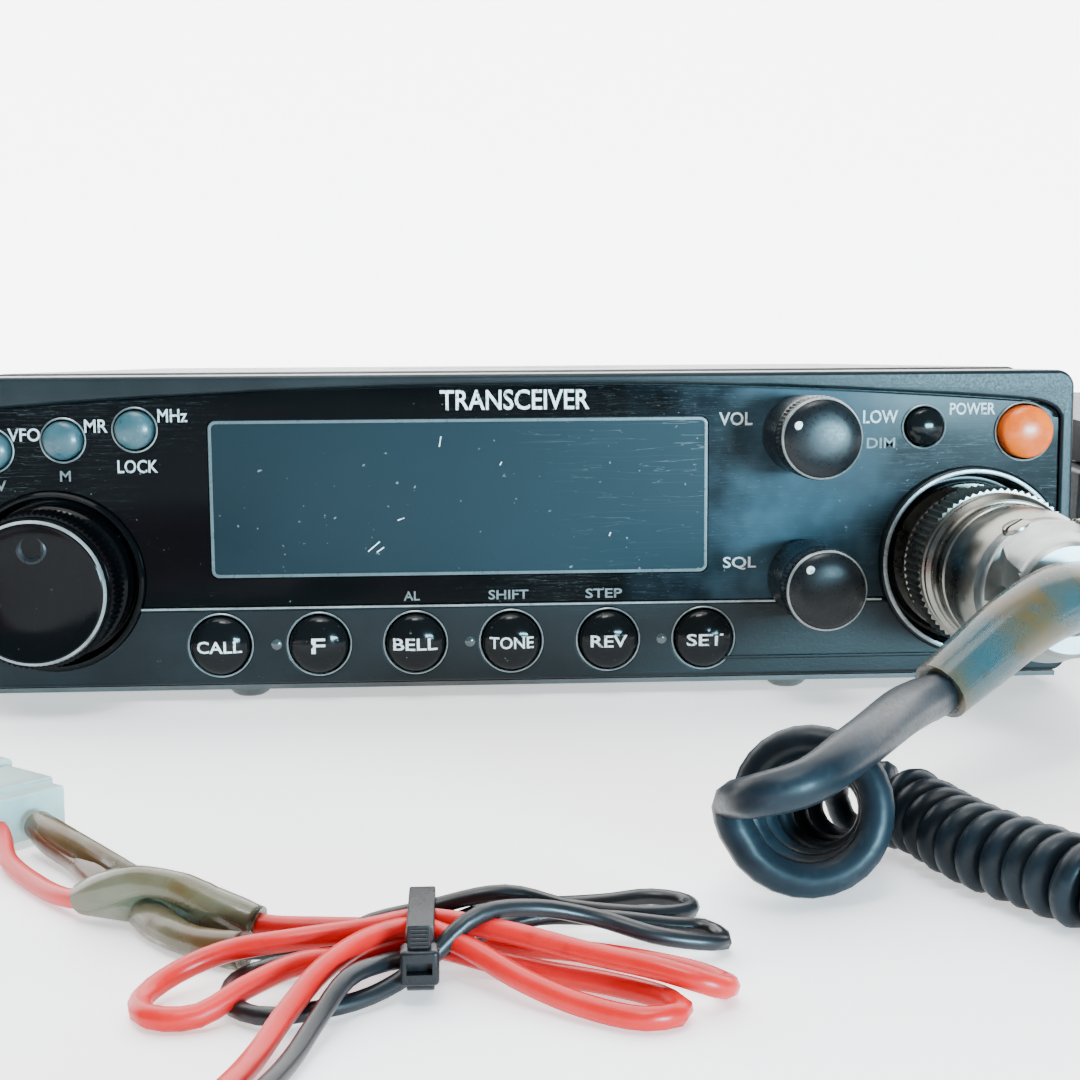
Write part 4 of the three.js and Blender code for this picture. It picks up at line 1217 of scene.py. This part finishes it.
def buildKnobs():
    knob = turned(tuningKnob, front["tuning"], 96)
    grip = ribbed(9.32, 0.28, 8.6, -88.9, -83.1, 84, front["tuning"])
    finished(joined("knob", [knob, grip]), "tuning_knob_body", "tuning_knob", "knob_black", looks["gloss"],
             ("tuning_knob",))
    # a bright ring on the face's edge: a painted highlight
    rim = turned([(8.28, -90.42), (8.45, -90.42), (8.62, -90.18), (8.4, -90.2), (8.28, -90.42)],
                 front["tuning"], 96)
    finished(rim, "tuning_knob_edge", "tuning_knob", "nickel", looks["knobRim"])
    dimple = turned([(1.1, -89.9), (1.5, -90), (1.8, -89.9), (1.5, -89.75), (1.1, -89.9)], (-57.7, 19.4), 24)
    finished(dimple, "tuning_knob_finger_mark", "tuning_knob", "knob_black", looks["knob"])
    for name, spot, turn in (("volume_knob", front["volume"], -62), ("squelch_knob", front["squelch"], -40)):
        body = turned(levelKnob, spot, 72)
        grip = ribbed(5.0, 0.14, 4.6, -92.25, -90.25, 60, spot)
        finished(joined("knob", [body, grip]), name + "_body", name, "knob_black", looks["knob"], (name,))
        # a bright ring on the face's edge: a painted highlight
        rim = turned([(4.6, -93.32), (4.74, -93.2), (4.84, -93.0), (4.66, -93.1), (4.6, -93.32)], spot, 72)
        finished(rim, name + "_edge", name, "knob_black", looks["knobRim"])
        angle = math.radians(90 - turn)
        dot = (spot[0] + 3.3 * math.cos(angle), spot[1] + 3.3 * math.sin(angle))
        mark = turned([(0, -94.0), (0.35, -93.98), (0.52, -93.9), (0.55, -93.7), (0, -93.7)], dot, 24)
        finished(mark, name + "_dot", name, "nylon_white", looks["whiteInk"])
    collar = turned(
        [(3.5, -76.5), (11.2, -76.5), (11.2, -80.3), (11.1, -80.6), (10.85, -80.8), (10.55, -80.8),
         (10.4, -80.55),
         (10.1, -78.4), (9.9, -78.2), (3.5, -78.2), (3.5, -76.5)], front["tuning"], 96,
    )
    finished(collar, "tuning_collar_ring", root, "gloss_black", looks["gloss"], ("tuning_collar",))
    for node in ("tuning_encoder", "volume_control", "squelch_control"):
        finished(refined(node, 0.25), node + "_can", root, "control_metal", looks["control"], (node,))
    print("knobs made")


buildKnobs()


# ---------- microphone socket and plug ----------
plug = {
    "barrel": [
        (0, -67), (7.9, -67), (7.9, -77.1), (9.6, -77.1), (9.8, -77.3), (9.8, -78.1), (9.6, -78.3),
        (7.9, -78.3),
        (7.9, -85.7), (7.7, -86), (7.1, -86), (6.95, -85.8), (6.95, -79), (0, -79),
    ],
    "ring": [
        (8.25, -82.4), (9.4, -82.4), (9.6, -82.6), (9.6, -83.2), (9.15, -83.4), (9.15, -84), (9.5, -84.2),
        (9.5, -90.4),
        (9.15, -90.6), (9.15, -91.1), (9.5, -91.3), (9.4, -91.7), (8.9, -92), (8.9, -93.1), (8.7, -93.4),
        (7.85, -93.4),
        (7.85, -88.5), (8.25, -88.5), (8.25, -82.4),
    ],
    "shell": [
        (5.6, -80.8), (6.7, -80.8), (6.7, -87), (8, -87), (8, -88.2), (7.6, -88.2), (7.6, -93.9),
        (8.3, -94.0),
        (8.6, -94.3), (8.6, -95.6), (8.35, -95.8), (8.35, -96.2), (8.6, -96.4), (8.6, -100), (8.45, -101.2),
        (8, -102.8),
        (7.5, -103.9), (7.2, -104.2), (3.5, -104.2), (3.5, -89), (5.6, -88.5), (5.6, -80.8),
    ],
    "clamp": [
        (3.5, -104.5), (7.4, -104.5), (7.8, -104.7), (8, -105.1), (8, -107.4), (7.8, -107.9), (7, -109.4),
        (6.5, -113),
        (6.2, -113.7), (5.8, -114), (3.9, -114), (3.5, -113.7), (3.5, -104.5),
    ],
}


def buildPlug():
    mic = front["mic"]
    pins = []
    for i in range(7):
        turn = 2 * math.pi * i / 7
        spot = (mic[0] + 3.6 * math.cos(turn), mic[1] + 3.6 * math.sin(turn))
        pins.append(turned([(0, -84), (0.4, -83.9), (0.6, -83.5), (0.6, -78), (0, -78)], spot, 16))
    socket = joined("socket", [turned(plug["barrel"], mic, 72)] + pins)
    finished(socket, "mic_socket_shell", root, "nickel", looks["nickel"], ("mic_socket",))
    ring = joined("ring", [turned(plug["ring"], mic, 96), ribbed(10.0, 0.35, 9.2, -90.3, -84.3, 72, mic)])
    finished(ring, "mic_plug_ring_nut", "mic_plug_ring", "nickel", looks["nickel"], ("mic_plug_ring",))
    finished(turned(plug["shell"], mic, 96), "mic_plug_body", root, "nickel", looks["nickel"],
             ("mic_plug_shell",))
    clamp = turned(plug["clamp"], mic, 96)
    x, z = mic
    slits = [box((x - 10, -116, z - 0.8), (x + 10, -108, z + 0.8), 0),
             box((x - 10, -116, z - 0.5), (x - 5.8, -108, z + 6), 0)]
    bored(clamp, slits)
    finished(clamp, "mic_plug_cable_clamp", root, "brushed_alloy", looks["alloyBright"], ("mic_plug_clamp",))
    insert = turned([(3.3, -105.2), (3.45, -105.2), (3.45, -114.3), (3.3, -114.5), (3.15, -114.3),
                     (3.15, -105.2),
                     (3.3, -105.2)], mic, 48)
    finished(insert, "mic_plug_cream_insert", root, "nylon_white", looks["cream"])
    screws = []
    for side in (-1, 1):
        head = turned([(0, 1.0), (1.1, 1.0), (1.5, 0.8), (1.6, 0.4), (1.6, 0), (0, 0)], (0, 0), 32, "Z")
        slot = box((-2, -0.2, 0.55), (2, 0.2, 1.4), 0)
        bored(head, [slot])
        move(head, (x + side * 3.6, -106.3, z + 6.6), (0, side * 22, 25))
        screws.append(head)
    finished(joined("screws", screws), "mic_plug_clamp_screws", root, "nickel", looks["nickel"])
    print("plug made")


buildPlug()


# ---------- case, boards and back ----------
def buildCase():
    finished(refined("top_cover", 0.35, 3), "top_cover_sheet", root, "painted_steel", looks["steel"],
             ("top_cover",))
    finished(refined("bottom_cover", 0.3, 2), "bottom_cover_sheet", root, "painted_steel",
             looks["baseSteel"], ("bottom_cover",))
    finished(refined("cast_chassis", 0.25, 2), "finned_chassis", root, "cast_alloy", looks["alloy"],
             ("cast_chassis",))
    for i in range(1, 5):
        node = f"cover_screw_{i}"
        head = refined(node, 0.12)
        spot = middle(node)
        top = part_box(node)[1].z / mm
        bored(head, [box((spot.x - 1.5, spot.y - 0.25, top - 0.7), (spot.x + 1.5, spot.y + 0.25, top + 1), 0),
                     box((spot.x - 0.25, spot.y - 1.5, top - 0.7), (spot.x + 0.25, spot.y + 1.5, top + 1),
                         0)])
        finished(head, node + "_cross_head", root, "screw_black", looks["screw"], (node,))
    for node, name, slotName, look, edge in (
        ("front_circuit_board", "front_board", "board_green", "board", 0.12),
        ("main_circuit_board", "main_board", "board_green", "board", 0.2),
        ("rf_power_module", "power_module", "control_metal", "control", 0.4),
        ("lcd_module", "lcd_unit", "lcd_body", "lcd", 0.3),
        ("speaker", "speaker_unit", "speaker_cone", "cone", 0.2),
        ("antenna_socket", "antenna_socket_body", "nickel", "nickel", 0.25),
        ("speaker_jack", "speaker_jack_ring", "socket_black", "socket", 0.2),
        ("lead_grommet", "lead_grommet_body", "rubber_black", "rubber", 0.25),
    ):
        finished(refined(node, edge, 3), name, root, slotName, looks[look], (node,), 36)
    # the antenna socket's thread and its centre contact
    x, z = 42, 20
    thread = []
    for i in range(12):
        y = 64.6 + i * 1.05
        thread.append(turned([(7.85, y), (8.15, y + 0.3), (7.85, y + 0.6), (7.6, y + 0.3), (7.85, y)],
                             (x, z), 48))
    thread.append(turned([(0, 63.8), (1.6, 63.8), (1.9, 64.1), (1.9, 75.4), (1.7, 75.8), (1.2, 75.8),
                          (1.2, 70), (0, 70)],
                         (x, z), 32))
    finished(joined("thread", thread), "antenna_socket_thread", root, "nickel", looks["nickel"])
    print("case made")


buildCase()


# ---------- cable tie ----------
tie = {"x": -10.8, "wide": 1.9, "back": -164.7, "front": -175.6, "low": -1.1, "high": 3.3, "thick": 0.6}


def buildTie():
    x, half, thick = tie["x"], tie["wide"] / 2, tie["thick"]
    outer = roundedRectangle(tie["front"], tie["low"], tie["back"], tie["high"], 1.5)
    inner = roundedRectangle(tie["front"] + thick, tie["low"] + thick, tie["back"] - thick,
                             tie["high"] - thick, 1.0)
    band = plate([outer, inner], -half, half, 0.12)
    move(band, (x, 0, 0), (0, 0, 90))
    head = box((x - half - 0.35, tie["front"] - 1.7, 0.3), (x + half + 0.35, tie["front"] + 0.2, 2.7), 0.3, 3)
    bored(head, [box((x - half + 0.1, tie["front"] - 3, 1.1), (x + half - 0.1, tie["front"] - 0.9, 1.9), 0)])
    tail = box((x - half + 0.15, tie["front"] - 1.2, 2.4), (x + half - 0.15, tie["front"] - 0.7, 4.3), 0.15)
    ridges = []
    for i in range(6):
        z = 2.5 + i * 0.28
        ridges.append(box((x - half + 0.35, tie["front"] - 1.32, z),
                          (x + half - 0.35, tie["front"] - 1.15, z + 0.14), 0.03, 1))
    finished(joined("tie", [band, head, tail] + ridges), "cable_tie_strap", root, "nylon_white",
             looks["tie"], ("cable_tie",))


buildTie()


# ---------- hand microphone ----------
def buildHandMic():
    for node, name, slotName, look, edge in (
        ("hand_mic_front_shell", "handset_front", "handset_plastic", "handset", 0.7),
        ("hand_mic_back_shell", "handset_back", "handset_plastic", "handset", 0.9),
        ("hand_mic_capsule", "handset_capsule", "nickel", "nickel", 0.4),
        ("hand_mic_hanger_stud", "handset_stud", "nickel", "nickel", 0.25),
        ("hand_mic_boot", "handset_boot", "rubber_black", "rubber", 0.3),
    ):
        finished(refined(node, edge, 4, 50), name, root, slotName, looks[look], (node,), 36)
    for node, slotName, look in (
        ("ptt_lever", "handset_plastic", "handset"),
        ("hand_mic_down_key", "rubber_black", "rubber"),
        ("hand_mic_up_key", "rubber_black", "rubber"),
    ):
        finished(refined(node, 0.7, 4), node + "_cap", node, slotName, looks[look], (node,), 36)
    print("hand microphone made")


buildHandMic()


# ---------- floor and light ----------
def floorAndLight():
    deselect()
    bpy.ops.mesh.primitive_plane_add(size=8, location=at(0, 0, floorZ - 0.02))
    floor = bpy.context.object
    floor.name = "floor"
    f = Finish("floorPaper", Roughness=0.9, Emission_Color=(1, 1, 1), Emission_Strength=0.8)
    shade = f.noise(6, 2, 0.5)
    f.set(Base_Color=f.mixed(shade, (0.9, 0.905, 0.91), (0.93, 0.93, 0.93)))
    floor.data.materials.append(f.material)
    world = bpy.data.worlds.new("studio")
    bpy.context.scene.world = world
    world.use_nodes = True
    world.node_tree.nodes["Background"].inputs["Color"].default_value = (0.8, 0.9, 1, 1)
    world.node_tree.nodes["Background"].inputs["Strength"].default_value = 0.25
    deselect()
    bpy.ops.mesh.primitive_plane_add(size=8, location=at(0, 1400, 2000), rotation=(math.pi / 2, 0, 0))
    backdrop = bpy.context.object
    backdrop.name = "backdrop"
    paper = Finish("backdropPaper", Roughness=0.95, Emission_Color=(1, 1, 1), Emission_Strength=5.5)
    backdrop.data.materials.append(paper.material)
    for name, place, aim, size, power, colour in (
        ("overhead", (-40, -200, 560), (0, -100, 10), (460, 300), 2.8, (1, 0.98, 0.95)),
        ("window", (230, -560, 45), (60, -80, 12), (170, 70), 8.5, (0.42, 0.8, 1)),
        ("front", (-40, -420, 620), (0, -80, 15), (160, 160), 2.0, (0.95, 0.98, 1)),
    ):
        lamp = bpy.data.lights.new(name, "AREA")
        lamp.shape = "RECTANGLE"
        lamp.size, lamp.size_y = size[0] * mm, size[1] * mm
        lamp.energy = power
        lamp.color = colour
        holder = bpy.data.objects.new(name, lamp)
        bpy.context.collection.objects.link(holder)
        back = at(*place) - at(*aim)
        holder.matrix_world = Matrix.Translation(at(*place)) @ back.to_track_quat("Z",
            "Y").to_matrix().to_4x4()


floorAndLight()

bpy.context.view_layer.update()
